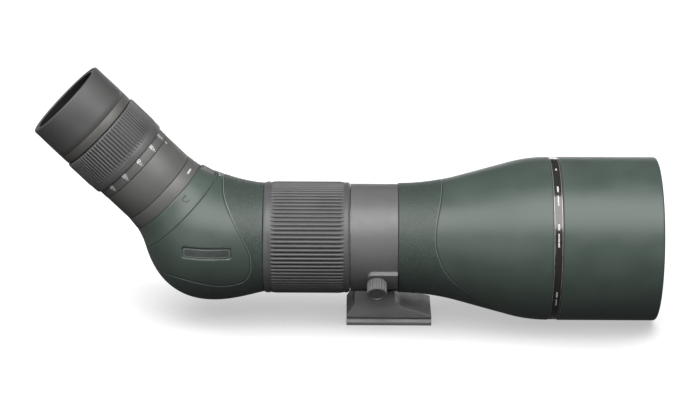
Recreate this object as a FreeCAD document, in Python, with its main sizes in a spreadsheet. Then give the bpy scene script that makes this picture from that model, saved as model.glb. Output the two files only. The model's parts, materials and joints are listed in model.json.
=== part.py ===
"""Angled 85 mm spotting scope with a rotating tripod collar.

Frame: millimetres, +Z up. The origin is the mouth of the tripod socket, at the centre of the
foot's underside. +X runs along the optical axis towards the objective, and the eyepiece axis
leaves the bend point upwards and backwards in the XZ plane. -Y is the side of the lock knob.
Turned pieces are drawn with x along their own axis and y as the radius.
"""

import FreeCAD, Part
import math
import os

import Sketcher
from FreeCAD import Placement, Rotation, Vector

SIZES = {
    # axes and overall stations along X
    "axis_height": 52.5,
    "bend_x": -112.8,
    "eyepiece_tilt": 45.0,
    "focus_back": -79.3,
    "collar_back": -24.6,
    "collar_front": 5.1,
    "band_back": 100.3,
    "hood_back": 106.0,
    "hood_front": 168.4,
    # clearances
    "running_gap": 0.05,
    "skin_gap": 0.05,
    "end_gap": 0.2,
    "moving_gap": 0.3,
    "cam_gap": 0.1,
    # main barrel and bell
    "barrel_radius": 30.6,
    "barrel_wall": 2.0,
    "barrel_rear_length": 7.0,
    "body_radius": 34.7,
    "bell_radius": 51.7,
    "bell_slope": 15.2,
    "bell_corner_x": 24.85,
    "bell_rear_bend": 146.0,
    "bell_front_bend": 94.0,
    "armour_wall": 2.2,
    "barrel_land_length": 7.0,
    "barrel_land_radius": 45.6,
    # sunshade and objective
    "hood_radius": 51.8,
    "hood_wall": 2.6,
    "hood_rim_round": 1.2,
    "hood_travel": 38.0,
    "band_radius": 51.4,
    "tube_wall": 2.0,
    "tube_overlap": 9.8,
    "seal_width": 1.6,
    "seal_depth": 0.9,
    "lens_radius": 43.45,
    "lens_gap": 0.05,
    "cell_flange_radius": 41.5,
    "cell_flange_length": 2.2,
    "cell_front": 150.0,
    "lens_seat_x": 123.2,
    "rear_lens_edge": 4.8,
    "rear_lens_curve": 300.0,
    "rear_spacer": 0.8,
    "middle_lens_back": 8.1,
    "middle_lens_curve": 260.0,
    "front_spacer": 0.6,
    "front_lens_edge": 5.0,
    "retainer_length": 3.0,
    "retainer_radius": 41.8,
    "baffle_thickness": 1.2,
    "baffle_depth": 4.5,
    # focus ring and focusing lens
    "focus_sleeve_radius": 33.0,
    "focus_grip_radius": 35.4,
    "focus_rear_radius": 34.7,
    "focus_front_radius": 34.05,
    "focus_taper_rear": 7.1,
    "focus_taper_front": 8.3,
    "rib_margin_rear": 4.7,
    "rib_margin_front": 5.0,
    "focus_rib_count": 80,
    "focus_rib_round": 0.85,
    "focus_rib_depth": 0.55,
    "circlip_width": 0.8,
    "circlip_radius": 32.2,
    "circlip_groove": 0.8,
    "focus_travel": 12.0,
    "focus_lead": 18.0,
    "focus_turns": 1.5,
    "cam_depth": 1.4,
    "drive_pin_radius": 1.5,
    "carriage_length": 22.0,
    "carriage_wall": 3.4,
    "focusing_lens_thick": 6.0,
    "focusing_lens_curve": 160.0,
    "focus_keeper_length": 2.4,
    # prism housing
    "housing_base_radius": 34.6,
    "neck_station": 26.4,
    "neck_base_radius": 32.6,
    "housing_heel": 12.5,
    "housing_swell": 7.0,
    "housing_skew": 1.25,
    "housing_crook": 2.5,
    "casting_wall": 2.4,
    "web_x": -88.5,
    "web_thickness": 3.2,
    "web_bore": 21.0,
    "badge_length": 30.3,
    "badge_height": 6.7,
    "badge_x": -113.7,
    "badge_rise": 2.1,
    "badge_depth": 0.9,
    "badge_corner": 1.2,
    # prism and bracket
    "bracket_plate": 2.4,
    "bracket_half_width": 19.4,
    "bracket_cheek": 2.2,
    "bracket_height": 21.5,
    "bracket_bore": 14.5,
    "bracket_cheek_length": 22.0,
    "prism_half_width": 16.9,
    "prism_face": 38.0,
    "prism_exit_station": 6.0,
    "prism_screw_radius": 1.2,
    "prism_screw_head": 1.5,
    "prism_screw_spread": 17.4,
    # eyepiece, by station along its own axis from the bend point
    "neck_top": 38.2,
    "neck_radius": 28.0,
    "neck_bore": 25.6,
    "socket_radius": 25.5,
    "socket_bore": 23.0,
    "base_ring_top": 46.6,
    "base_ring_radius": 27.9,
    "base_ring_top_radius": 26.9,
    "shell_top": 66.0,
    "shell_radius": 26.8,
    "shell_bore": 24.0,
    "ocular_radius": 21.5,
    "ocular_bore": 19.6,
    "ocular_top": 116.0,
    "spigot_length": 9.0,
    "number_ring_top": 72.0,
    "number_ring_radius": 27.0,
    "zoom_top": 98.0,
    "zoom_sleeve_radius": 25.6,
    "zoom_radius_top": 28.6,
    "zoom_radius_low": 28.0,
    "zoom_rib_start": 77.0,
    "zoom_rib_count": 80,
    "zoom_rib_round": 0.8,
    "zoom_rib_depth": 0.4,
    "zoom_cam_depth": 1.6,
    "zoom_pin_radius": 1.0,
    "zoom_cam_turns": 0.5,
    "front_group_lead": 13.846,
    "front_group_travel": 2.5,
    "front_group_pin": 74.0,
    "rear_group_lead": 11.077,
    "rear_group_travel": 2.0,
    "rear_group_pin": 91.0,
    "group_length": 9.0,
    "group_wall": 2.4,
    "group_lens_thick": 3.0,
    "group_lens_curve": 70.0,
    "group_lip": 1.2,
    "field_lens_station": 52.0,
    "field_lens_thick": 4.0,
    "field_lens_curve": 60.0,
    "field_stop_bore": 13.0,
    "field_stop_length": 1.5,
    "eye_lens_edge": 4.0,
    "eye_lens_curve": 45.0,
    "eye_lens_spacer": 2.6,
    "eye_retainer_length": 2.6,
    "eye_retainer_bore": 16.0,
    # eyecup
    "cup_ring_bottom": 98.5,
    "cup_ring_top": 104.0,
    "cup_ring_radius": 27.8,
    "cup_sleeve_radius": 25.4,
    "cup_sleeve_bore": 24.2,
    "cup_sleeve_top": 121.0,
    "cup_stop": 2.0,
    "cup_radius": 27.8,
    "cup_end": 127.5,
    "cup_mouth": 23.6,
    "lift_ring_length": 10.0,
    # neck latch
    "latch_station": 32.3,
    "latch_length": 9.6,
    "latch_width": 7.5,
    "latch_reach": 1.6,
    "latch_plate": 2.4,
    "latch_stem_radius": 1.6,
    "latch_travel": 1.0,
    "latch_rib_depth": 0.45,
    "neck_screw_station": 24.6,
    "neck_screw_top": 33.5,
    "neck_screw_head_radius": 1.5,
    "neck_screw_head": 1.6,
    "neck_screw_shank_radius": 0.8,
    "neck_screw_length": 5.0,
    # tripod collar and foot
    "collar_radius": 34.05,
    "collar_bore": 31.6,
    "foot_half_length": 26.9,
    "foot_half_width": 19.0,
    "foot_edge": 2.1,
    "foot_bevel": 2.1,
    "foot_bevel_inset": 2.1,
    "foot_groove": 1.5,
    "plate_top": 6.5,
    "foot_neck_back": -21.9,
    "foot_neck_front": 2.6,
    "rear_flare_height": 16.5,
    "rear_flare_foot": 12.6,
    "rear_flare_run": 0.9,
    "rear_flare_round": 9.0,
    "front_flare_height": 21.5,
    "front_flare_foot": 12.2,
    "front_flare_run": 5.6,
    "front_flare_round": 9.4,
    "insert_radius": 4.6,
    "insert_length": 9.0,
    "socket_thread_radius": 3.175,
    "guide_hole_radius": 2.25,
    "guide_hole_depth": 5.0,
    "guide_hole_x": 14.0,
    # collar clamp
    "clamp_tilt": 32.0,
    "clamp_x": -7.9,
    "boss_back": -13.8,
    "boss_half_height": 7.0,
    "boss_face": 36.4,
    "boss_root": 26.0,
    "boss_round": 3.6,
    "shoe_radius": 4.5,
    "shoe_length": 2.6,
    "shoe_travel": 0.75,
    "screw_radius": 2.0,
    "screw_head_length": 1.0,
    "knob_radius": 6.3,
    "knob_length": 9.2,
    "knob_rib_count": 18,
    "knob_rib_round": 0.55,
    "knob_face_recess": 0.5,
    "knob_screw_depth": 6.5,
}


class Size:
    """A length, angle or count: its present value, and the sheet expression behind it."""

    def __init__(self, value, text=None):
        self.value = float(value)
        self.text = text or "(%.9g)" % value
        self.fixed = text is None

    @staticmethod
    def of(other):
        return other if isinstance(other, Size) else Size(other)

    def joined(self, sign, other, value):
        other = Size.of(other)
        return Size(value, "(%s %s %s)" % (self.text, sign, other.text))

    def __add__(self, other):
        return self.joined("+", other, self.value + Size.of(other).value)

    def __radd__(self, other):
        return Size.of(other) + self

    def __sub__(self, other):
        return self.joined("-", other, self.value - Size.of(other).value)

    def __rsub__(self, other):
        return Size.of(other) - self

    def __mul__(self, other):
        return self.joined("*", other, self.value * Size.of(other).value)

    def __rmul__(self, other):
        return Size.of(other) * self

    def __truediv__(self, other):
        return self.joined("/", other, self.value / Size.of(other).value)

    def __neg__(self):
        return 0 - self


def tangent(angle):
    """Tangent of an angle in degrees."""
    return Size(math.tan(math.radians(angle.value)), "tan(%s * 1deg)" % angle.text)


def cosine(angle):
    """Cosine of an angle in degrees."""
    return Size(math.cos(math.radians(angle.value)), "cos(%s * 1deg)" % angle.text)


def sine(angle):
    """Sine of an angle in degrees."""
    return Size(math.sin(math.radians(angle.value)), "sin(%s * 1deg)" % angle.text)


doc = FreeCAD.newDocument("SpottingScope")
sheet = doc.addObject("Spreadsheet::Sheet", "Sizes")


class Sheet:
    """Every driving size, by name."""


def fill_sheet():
    """Write each size into the spreadsheet under its alias."""
    for row, (name, value) in enumerate(SIZES.items(), start=1):
        sheet.set("A%d" % row, name)
        sheet.set("B%d" % row, str(value))
        sheet.setAlias("B%d" % row, name)
        setattr(Sheet, name, Size(value, "Sizes." + name))
    doc.recompute()


fill_sheet()
V = Sheet
nodes = {}


def bind(target, prop, size):
    """Give a property a size, through the sheet where the size comes from it."""
    size = Size.of(size)
    if size.fixed:
        setattr(target, prop, size.value)
    else:
        target.setExpression(prop, size.text)


def keep(name, feature):
    """Record a finished sub-part under its node name."""
    feature.Label = name
    nodes[name] = feature
    return feature


def on_main_axis(feature):
    """Place a turned piece on the optical axis."""
    feature.setExpression("Placement.Base.z", V.axis_height.text)
    return feature


def on_eyepiece_axis(feature):
    """Place a turned piece on the eyepiece axis, its x measured from the bend point."""
    feature.Placement = Placement(Vector(V.bend_x.value, 0, V.axis_height.value), Rotation(Vector(0, -1, 0), 135))
    feature.setExpression("Placement.Base.x", V.bend_x.text)
    feature.setExpression("Placement.Base.z", V.axis_height.text)
    feature.setExpression("Placement.Rotation.Angle", (180 - V.eyepiece_tilt).text)
    return feature


def origin_plane(body, role):
    """One of a body's own origin planes or axes."""
    return [item for item in body.Origin.OriginFeatures if item.Role == role][0]


def new_sketch(body, name, plane="XZ_Plane", offset=0.0):
    """A sketch on one of the body's origin planes, lifted off it by an offset."""
    sketch = body.newObject("Sketcher::SketchObject", name)
    sketch.AttachmentSupport = [(origin_plane(body, plane), "")]
    sketch.MapMode = "FlatFace"
    offset = Size.of(offset)
    sketch.AttachmentOffset = Placement(Vector(0, 0, offset.value), Rotation())
    if not offset.fixed:
        sketch.setExpression("AttachmentOffset.Base.z", offset.text)
    return sketch


def pin_point(sketch, edge, end, x, y):
    """Tie one end of an edge to its coordinates."""
    for kind, size in (("DistanceX", Size.of(x)), ("DistanceY", Size.of(y))):
        index = sketch.addConstraint(Sketcher.Constraint(kind, -1, 1, edge, end, size.value))
        if not size.fixed:
            sketch.setExpression("Constraints[%d]" % index, size.text)


def arc_between(start, end, radius):
    """Arc from start to end. A positive radius puts its centre left of the way from start to end."""
    chord = end - start
    half = chord.Length / 2
    left = Vector(-chord.y, chord.x, 0).normalize()
    rise = math.sqrt(radius * radius - half * half)
    centre = (start + end) * 0.5 + left * (rise if radius > 0 else -rise)
    circle = Part.Circle(centre, Vector(0, 0, 1), abs(radius))
    first, last = (start, end) if radius > 0 else (end, start)
    low = math.atan2(first.y - centre.y, first.x - centre.x)
    high = math.atan2(last.y - centre.y, last.x - centre.x)
    if high < low:
        high += 2 * math.pi
    return Part.ArcOfCircle(circle, low, high)


def draw_outline(sketch, outline):
    """Closed outline of (x, y) corners. A third value makes the edge that reaches a corner an arc."""
    corners = [(Size.of(corner[0]), Size.of(corner[1])) for corner in outline]
    count = len(outline)
    ends = []
    for i in range(count):
        here = Vector(corners[i][0].value, corners[i][1].value, 0)
        there = Vector(corners[(i + 1) % count][0].value, corners[(i + 1) % count][1].value, 0)
        following = outline[(i + 1) % count]
        if len(following) == 2:
            sketch.addGeometry(Part.LineSegment(here, there))
            ends.append((1, 2))
            continue
        radius = Size.of(following[2])
        sketch.addGeometry(arc_between(here, there, radius.value))
        ends.append((1, 2) if radius.value > 0 else (2, 1))
        size = radius if radius.value > 0 else -radius
        index = sketch.addConstraint(Sketcher.Constraint("Radius", i, size.value))
        if not size.fixed:
            sketch.setExpression("Constraints[%d]" % index, size.text)
    for i in range(count):
        following = (i + 1) % count
        sketch.addConstraint(Sketcher.Constraint("Coincident", i, ends[i][1], following, ends[following][0]))
        pin_point(sketch, i, ends[i][0], *corners[i])


def turned(name, outline):
    """A body turned about its x axis from an outline of (station, radius) corners."""
    body = doc.addObject("PartDesign::Body", name)
    sketch = new_sketch(body, name + "_outline")
    draw_outline(sketch, outline)
    turn = body.newObject("PartDesign::Revolution", name + "_turn")
    turn.Profile = sketch
    turn.ReferenceAxis = (sketch, ["H_Axis"])
    turn.Angle = 360
    return body


def ring(name, back, front, bore, radius):
    """A plain turned ring."""
    return turned(name, [(back, bore), (front, bore), (front, radius), (back, radius)])


def scallops(body, start, length, circle_radius, cut_radius, count):
    """Round-bottomed grooves along a turned body, evenly spaced about its axis."""
    sketch = new_sketch(body, body.Name + "_rib", "YZ_Plane", start)
    sketch.addGeometry(Part.Circle(Vector(0, circle_radius.value, 0), Vector(0, 0, 1), cut_radius.value))
    sketch.addConstraint(Sketcher.Constraint("PointOnObject", 0, 3, -2))
    place = sketch.addConstraint(Sketcher.Constraint("DistanceY", -1, 1, 0, 3, circle_radius.value))
    sketch.setExpression("Constraints[%d]" % place, circle_radius.text)
    wide = sketch.addConstraint(Sketcher.Constraint("Radius", 0, cut_radius.value))
    sketch.setExpression("Constraints[%d]" % wide, cut_radius.text)
    cut = body.newObject("PartDesign::Pocket", body.Name + "_groove")
    cut.Profile = sketch
    cut.Reversed = True
    bind(cut, "Length", length)
    pattern = body.newObject("PartDesign::PolarPattern", body.Name + "_ribs")
    pattern.Originals = [cut]
    pattern.Axis = (origin_plane(body, "X_Axis"), [""])
    pattern.Angle = 360
    bind(pattern, "Occurrences", count)
    body.Tip = pattern


def slotted(body, middle, half_length, half_width, reach, side):
    """Cut a straight lengthwise slot through one side wall of a turned body (side +1 is +Y)."""
    sketch = new_sketch(body, body.Name + "_slot%d" % len(body.Group))
    draw_outline(sketch, [
        (middle - half_length, -half_width),
        (middle + half_length, -half_width),
        (middle + half_length, half_width),
        (middle - half_length, half_width),
    ])
    cut = body.newObject("PartDesign::Pocket", body.Name + "_slot_cut%d" % len(body.Group))
    cut.Profile = sketch
    cut.Reversed = side < 0
    bind(cut, "Length", reach)


def cam_groove(body, middle, bore, width, depth, lead, turns, left_handed):
    """Cut a helical cam groove into a sleeve's bore. Half its winding lies each side of the middle."""
    start = middle - lead * turns / 2
    sketch = new_sketch(body, body.Name + "_cam%d" % len(body.Group))
    draw_outline(sketch, [
        (start - width / 2, bore - 0.6),
        (start + width / 2, bore - 0.6),
        (start + width / 2, bore + depth),
        (start - width / 2, bore + depth),
    ])
    helix = body.newObject("PartDesign::SubtractiveHelix", body.Name + "_helix%d" % len(body.Group))
    helix.Profile = sketch
    helix.ReferenceAxis = (sketch, ["H_Axis"])
    helix.Mode = "pitch-turns-angle"
    helix.LeftHanded = left_handed
    bind(helix, "Pitch", lead)
    bind(helix, "Turns", turns)


def rounded(body, radius, edges_at):
    """Round a turned body's circular edges that lie at the given (station, radius) places."""
    doc.recompute()
    tip = body.Tip
    names = []
    for index, edge in enumerate(tip.Shape.Edges, start=1):
        if not isinstance(edge.Curve, Part.Circle):
            continue
        for station, size in edges_at:
            here = edge.Curve.Center.x if abs(edge.Curve.Axis.x) > 0.99 else None
            if here is None:
                continue
            if abs(here - station.value) < 1e-4 and abs(edge.Curve.Radius - size.value) < 1e-4:
                names.append("Edge%d" % index)
    fillet = body.newObject("PartDesign::Fillet", body.Name + "_round")
    fillet.Base = (tip, names)
    bind(fillet, "Radius", radius)
    return body


def group(name, members):
    """Several separate solids kept as one node."""
    compound = doc.addObject("Part::Compound", name)
    compound.Links = members
    return keep(name, compound)


def shape_node(name, shape):
    """A sub-part whose shape is worked out directly from the sizes."""
    feature = doc.addObject("Part::Feature", name)
    feature.Shape = shape
    return keep(name, feature)


# --- main barrel, bell and objective -------------------------------------------------------

def bell_line(inset):
    """Corners of the bell from its narrow end to its wide end, moved inwards by an inset."""
    slope = V.bell_slope
    half = tangent(slope / 2)
    corner = V.bell_corner_x + inset * half
    low = V.body_radius - inset
    high = V.bell_radius - inset
    top = corner + (high - low) / tangent(slope)
    rear_bend = V.bell_rear_bend + inset
    front_bend = V.bell_front_bend - inset
    rear_run = rear_bend * half
    front_run = front_bend * half
    return [
        (corner - rear_run, low),
        (corner + rear_run * cosine(slope), low + rear_run * sine(slope), rear_bend),
        (top - front_run * cosine(slope), high - front_run * sine(slope)),
        (top + front_run, high, -front_bend),
    ]


def bell_radius_at(station, inset):
    """Radius of the straight cone at a station, moved inwards by an inset."""
    corner = V.bell_corner_x + inset * tangent(V.bell_slope / 2)
    return V.body_radius - inset + (station - corner) * tangent(V.bell_slope)


def reversed_line(corners):
    """The same outline walked the other way, with its arcs kept."""
    back = []
    for i in range(len(corners) - 1, -1, -1):
        corner = corners[i][:2]
        if i + 1 < len(corners) and len(corners[i + 1]) == 3:
            corner = corner + (-corners[i + 1][2],)
        back.append(corner)
    return back


def make_front_armour():
    """Rubber armour over the barrel and bell, from the collar to the band."""
    back = V.collar_front + V.end_gap
    body = turned("front_armour", [
        (back, V.body_radius - V.armour_wall),
        (back, V.body_radius),
    ] + bell_line(Size(0)) + [
        (V.band_back, V.bell_radius),
        (V.band_back, V.bell_radius - V.armour_wall),
    ] + reversed_line(bell_line(V.armour_wall)))
    keep("front_armour", on_main_axis(body))


def make_main_barrel():
    """Aluminium barrel: journals for the focus ring and collar, then the bell."""
    skin = V.armour_wall + V.skin_gap
    inner = skin + V.barrel_wall
    back = V.focus_back - V.barrel_rear_length
    bore = V.barrel_radius - V.barrel_wall
    land = V.band_back - V.barrel_land_length
    clip = V.collar_back - V.circlip_width
    inner_bell = reversed_line(bell_line(inner))
    body = turned("main_barrel", [
        (back, bore),
        (back, V.barrel_radius),
        (clip, V.barrel_radius),
        (clip, V.barrel_radius - V.circlip_groove),
        (V.collar_back, V.barrel_radius - V.circlip_groove),
        (V.collar_back, V.barrel_radius),
        (V.collar_front + V.end_gap, V.barrel_radius),
        (V.collar_front + V.end_gap, V.body_radius - skin),
    ] + bell_line(skin) + [
        (V.band_back, V.bell_radius - skin),
        (V.band_back, V.barrel_land_radius),
        (land, V.barrel_land_radius),
        inner_bell[1][:2],
        inner_bell[2],
        inner_bell[3],
        (V.collar_front + V.end_gap + V.barrel_wall, V.body_radius - inner),
        (V.collar_front + V.end_gap + V.barrel_wall, bore),
    ])
    middle = focus_pin_station()
    slotted(body, middle, V.focus_travel + V.drive_pin_radius + V.moving_gap,
            V.drive_pin_radius + V.running_gap, V.barrel_radius + 1, 1)
    keep("main_barrel", on_main_axis(body))


def make_objective_tube():
    """Fixed tube in front of the bell. The sunshade slides on it, and two seals ride in it."""
    outer = V.hood_radius - V.hood_wall - V.running_gap
    inner = outer - V.tube_wall
    front = V.hood_back + V.hood_travel + V.tube_overlap
    spigot = V.band_back - V.barrel_land_length
    outline = [
        (spigot, V.barrel_land_radius - V.tube_wall),
        (spigot, V.barrel_land_radius),
        (V.band_back, V.barrel_land_radius),
        (V.band_back, outer),
    ]
    for station in seal_stations():
        outline += [
            (station, outer),
            (station, outer - V.seal_depth),
            (station + V.seal_width, outer - V.seal_depth),
            (station + V.seal_width, outer),
        ]
    outline += [
        (front, outer),
        (front, inner),
        (V.band_back + V.tube_wall, inner),
        (V.band_back + V.tube_wall, V.barrel_land_radius - V.tube_wall),
    ]
    keep("objective_tube", on_main_axis(turned("objective_tube", outline)))


def seal_stations():
    """Back faces of the two sunshade seals, both covered wherever the sunshade stands."""
    front = V.hood_back + V.hood_travel + V.tube_overlap
    return [front - V.seal_width * 5, front - V.seal_width * 2]


def make_hood_seals():
    """Two square-section rubber rings that drag on the sunshade."""
    outer = V.hood_radius - V.hood_wall - V.running_gap
    members = []
    for number, station in enumerate(seal_stations(), start=1):
        body = ring("hood_seal_%d" % number, station, station + V.seal_width, outer - V.seal_depth, outer)
        members.append(on_main_axis(body))
    group("hood_seals", members)


def make_front_band():
    """Narrow ring between the bell armour and the sunshade."""
    bore = V.hood_radius - V.hood_wall - V.running_gap
    body = ring("front_band", V.band_back, V.hood_back, bore, V.band_radius)
    rounded(body, 0.25, [(V.hood_back, V.band_radius), (V.band_back, V.band_radius)])
    keep("front_band", on_main_axis(body))


def make_sunshade():
    """Sliding sunshade with a rounded rim."""
    back = V.hood_back + V.end_gap
    body = ring("sunshade", back, V.hood_front, V.hood_radius - V.hood_wall, V.hood_radius)
    rounded(body, V.hood_rim_round, [
        (V.hood_front, V.hood_radius),
        (V.hood_front, V.hood_radius - V.hood_wall),
    ])
    keep("sunshade", on_main_axis(body))


def sag(curve, radius):
    """Depth of a spherical face of this curve, from its middle to a radius."""
    depth = abs(curve.value) - math.sqrt(curve.value ** 2 - radius.value ** 2)
    return Size(depth, "(abs(%s) - sqrt(%s ^ 2 - %s ^ 2))" % (curve.text, curve.text, radius.text))


def lens(name, back, front, radius, back_curve=None, front_curve=None):
    """A lens by its edge stations. A positive curve bulges outwards, a negative one is hollow."""
    outline = [(back, radius), (front, radius)]
    corners = [(front, front_curve, 1), (back, back_curve, -1)]
    for station, curve, way in corners:
        if curve is None:
            outline.append((station, Size(0)))
            continue
        bulge = way if curve.value > 0 else -way
        outline.append((station + sag(curve, radius) * bulge, Size(0)))
    if front_curve is not None:
        outline[2] = outline[2] + (-front_curve,)
    if back_curve is not None:
        outline[0] = outline[0] + (-back_curve,)
    return turned(name, outline)


def lens_edges():
    """Edge stations of the three objective lenses, from the back seat forwards."""
    rear = (V.lens_seat_x, V.lens_seat_x + V.rear_lens_edge)
    middle_back = rear[1] + V.rear_spacer
    middle = (middle_back, middle_back + V.middle_lens_back)
    front_back = middle[1] + V.front_spacer
    front = (front_back, front_back + V.front_lens_edge)
    return rear, middle, front


def edge_rise(curve, radius, bore):
    """How far a convex lens face stands beyond its edge where a ring of this bore touches it."""
    return sag(curve, radius) - sag(curve, bore) + V.running_gap


def make_objective():
    """Objective cell with three lenses, two spacers and the retaining ring."""
    rear, middle, front = lens_edges()
    outer = V.hood_radius - V.hood_wall - V.running_gap - V.tube_wall
    bore = V.lens_radius + V.lens_gap
    flange = V.lens_seat_x - V.cell_flange_length
    seat = V.lens_seat_x - edge_rise(V.rear_lens_curve, V.lens_radius, V.cell_flange_radius)
    cell = turned("objective_cell", [
        (flange, V.cell_flange_radius),
        (seat, V.cell_flange_radius),
        (seat, bore),
        (V.cell_front, bore),
        (V.cell_front, outer),
        (flange, outer),
    ])
    keep("objective_cell", on_main_axis(cell))
    curve = V.middle_lens_curve
    keep("objective_rear_lens", on_main_axis(
        lens("objective_rear_lens", rear[0], rear[1], V.lens_radius, V.rear_lens_curve, None)))
    keep("objective_middle_lens", on_main_axis(
        lens("objective_middle_lens", middle[0], middle[1], V.lens_radius, None, -curve)))
    keep("objective_front_lens", on_main_axis(
        lens("objective_front_lens", front[0], front[1], V.lens_radius, curve, curve)))
    rim = V.cell_flange_radius
    rear_ring = on_main_axis(ring("rear_spacer_ring", rear[1], middle[0], rim, V.lens_radius))
    front_end = front[0] - edge_rise(curve, V.lens_radius, rim)
    front_ring = on_main_axis(ring("front_spacer_ring", middle[1], front_end, rim, V.lens_radius))
    group("lens_spacers", [rear_ring, front_ring])
    seat = front[1] + edge_rise(curve, V.lens_radius, V.retainer_radius)
    retainer = ring("lens_retaining_ring", seat, seat + V.retainer_length, V.retainer_radius, bore)
    keep("lens_retaining_ring", on_main_axis(retainer))


def make_baffles():
    """Two knife-edged light baffles in the bell."""
    inner = V.armour_wall + V.skin_gap + V.barrel_wall
    members = []
    for number, way in enumerate((0.45, 0.85), start=1):
        station = V.bell_corner_x + (V.band_back - V.bell_corner_x) * 0.8 * way
        wall = bell_radius_at(station, inner)
        body = turned("baffle_%d" % number, [
            (station, wall),
            (station + V.baffle_thickness, wall),
            (station + V.baffle_thickness, wall - V.baffle_depth + 1),
            (station, wall - V.baffle_depth),
        ])
        members.append(on_main_axis(body))
    group("barrel_baffles", members)


# --- focus ring and focusing lens ----------------------------------------------------------

def focus_pin_station():
    """Station of the drive pin with the focus ring at the middle of its range."""
    return (V.focus_back + V.collar_back - V.circlip_width) / 2


def make_focus_ring():
    """Focus ring: an inner sleeve with a helical cam groove, and the ribbed outer grip."""
    back = V.focus_back + V.end_gap
    front = V.collar_back - V.circlip_width - V.end_gap
    bore = V.barrel_radius + V.running_gap
    sleeve = ring("focus_sleeve", back, front, bore, V.focus_sleeve_radius)
    cam_groove(sleeve, focus_pin_station(), bore, (V.drive_pin_radius + V.cam_gap) * 2, V.cam_depth,
               V.focus_lead, V.focus_turns, False)
    keep("focus_sleeve", on_main_axis(sleeve))
    grip_front = V.collar_back - V.end_gap
    lip = V.circlip_radius + V.moving_gap
    grip = turned("focus_grip", [
        (back, V.focus_sleeve_radius),
        (back, V.focus_rear_radius),
        (back + V.focus_taper_rear, V.focus_grip_radius),
        (grip_front - V.focus_taper_front, V.focus_grip_radius),
        (grip_front, V.focus_front_radius),
        (grip_front, lip),
        (front, lip),
        (front, V.focus_sleeve_radius),
    ])
    start = back + V.rib_margin_rear
    scallops(grip, start, grip_front - V.rib_margin_front - start,
             V.focus_grip_radius + V.focus_rib_round - V.focus_rib_depth, V.focus_rib_round, V.focus_rib_count)
    keep("focus_grip", on_main_axis(grip))


def make_collar_circlip():
    """Open spring ring in the barrel groove that keeps the focus ring and collar in place."""
    back = V.collar_back - V.circlip_width
    body = ring("collar_circlip", back, V.collar_back, V.barrel_radius - V.circlip_groove, V.circlip_radius)
    gap = new_sketch(body, "circlip_gap", "XZ_Plane")
    draw_outline(gap, [
        (back - 1, V.circlip_radius * 0.8),
        (V.collar_back + 1, V.circlip_radius * 0.8),
        (V.collar_back + 1, V.circlip_radius + 1),
        (back - 1, V.circlip_radius + 1),
    ])
    cut = body.newObject("PartDesign::Pocket", "circlip_gap_cut")
    cut.Profile = gap
    cut.Midplane = True
    cut.Length = 6
    keep("collar_circlip", on_main_axis(body))


def make_focus_carriage():
    """Focusing lens in its sliding carriage, driven by one pin through the barrel slot."""
    middle = focus_pin_station()
    half = V.carriage_length / 2
    outer = V.barrel_radius - V.barrel_wall - V.running_gap
    bore = outer - V.carriage_wall
    seat = middle - V.focusing_lens_thick / 2
    thick = V.focusing_lens_thick
    carriage = turned("focus_carriage", [
        (middle - half, bore - 1.5),
        (seat, bore - 1.5),
        (seat, bore),
        (middle + half, bore),
        (middle + half, outer),
        (middle - half, outer),
    ])
    slotted(carriage, middle, V.drive_pin_radius, V.drive_pin_radius, outer + 1, 1)
    keep("focus_carriage", on_main_axis(carriage))
    curve = V.focusing_lens_curve
    glass = lens("focusing_lens", seat, seat + thick, bore - V.lens_gap, -curve, -curve)
    keep("focusing_lens", on_main_axis(glass))
    keeper = ring("focusing_lens_keeper", seat + thick, seat + thick + V.focus_keeper_length, bore - 2, bore)
    keep("focusing_lens_keeper", on_main_axis(keeper))
    pin = doc.addObject("Part::Cylinder", "focus_drive_pin")
    bind(pin, "Radius", V.drive_pin_radius)
    start = bore + 0.6
    bind(pin, "Height", V.barrel_radius + V.running_gap + V.cam_depth - V.moving_gap - start)
    pin.Placement = Placement(Vector(0, 0, 0), Rotation(Vector(1, 0, 0), -90))
    pin.setExpression("Placement.Base.x", middle.text)
    pin.setExpression("Placement.Base.y", start.text)
    pin.setExpression("Placement.Base.z", V.axis_height.text)
    keep("focus_drive_pin", pin)


# --- prism housing -------------------------------------------------------------------------

SECTION_POINTS = 24

def fan_pivot():
    """Line along Y, as an XZ point, that every section plane of the bent housing passes through."""
    tilt = math.radians(V.eyepiece_tilt.value)
    across = Vector(math.sin(tilt), 0, math.cos(tilt))
    along = Vector(-math.cos(tilt), 0, math.sin(tilt))
    bend = Vector(V.bend_x.value, 0, V.axis_height.value)
    neck = bend + along * V.neck_station.value
    reach = (V.focus_back.value - neck.x) / across.x
    return neck + across * reach, reach


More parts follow.
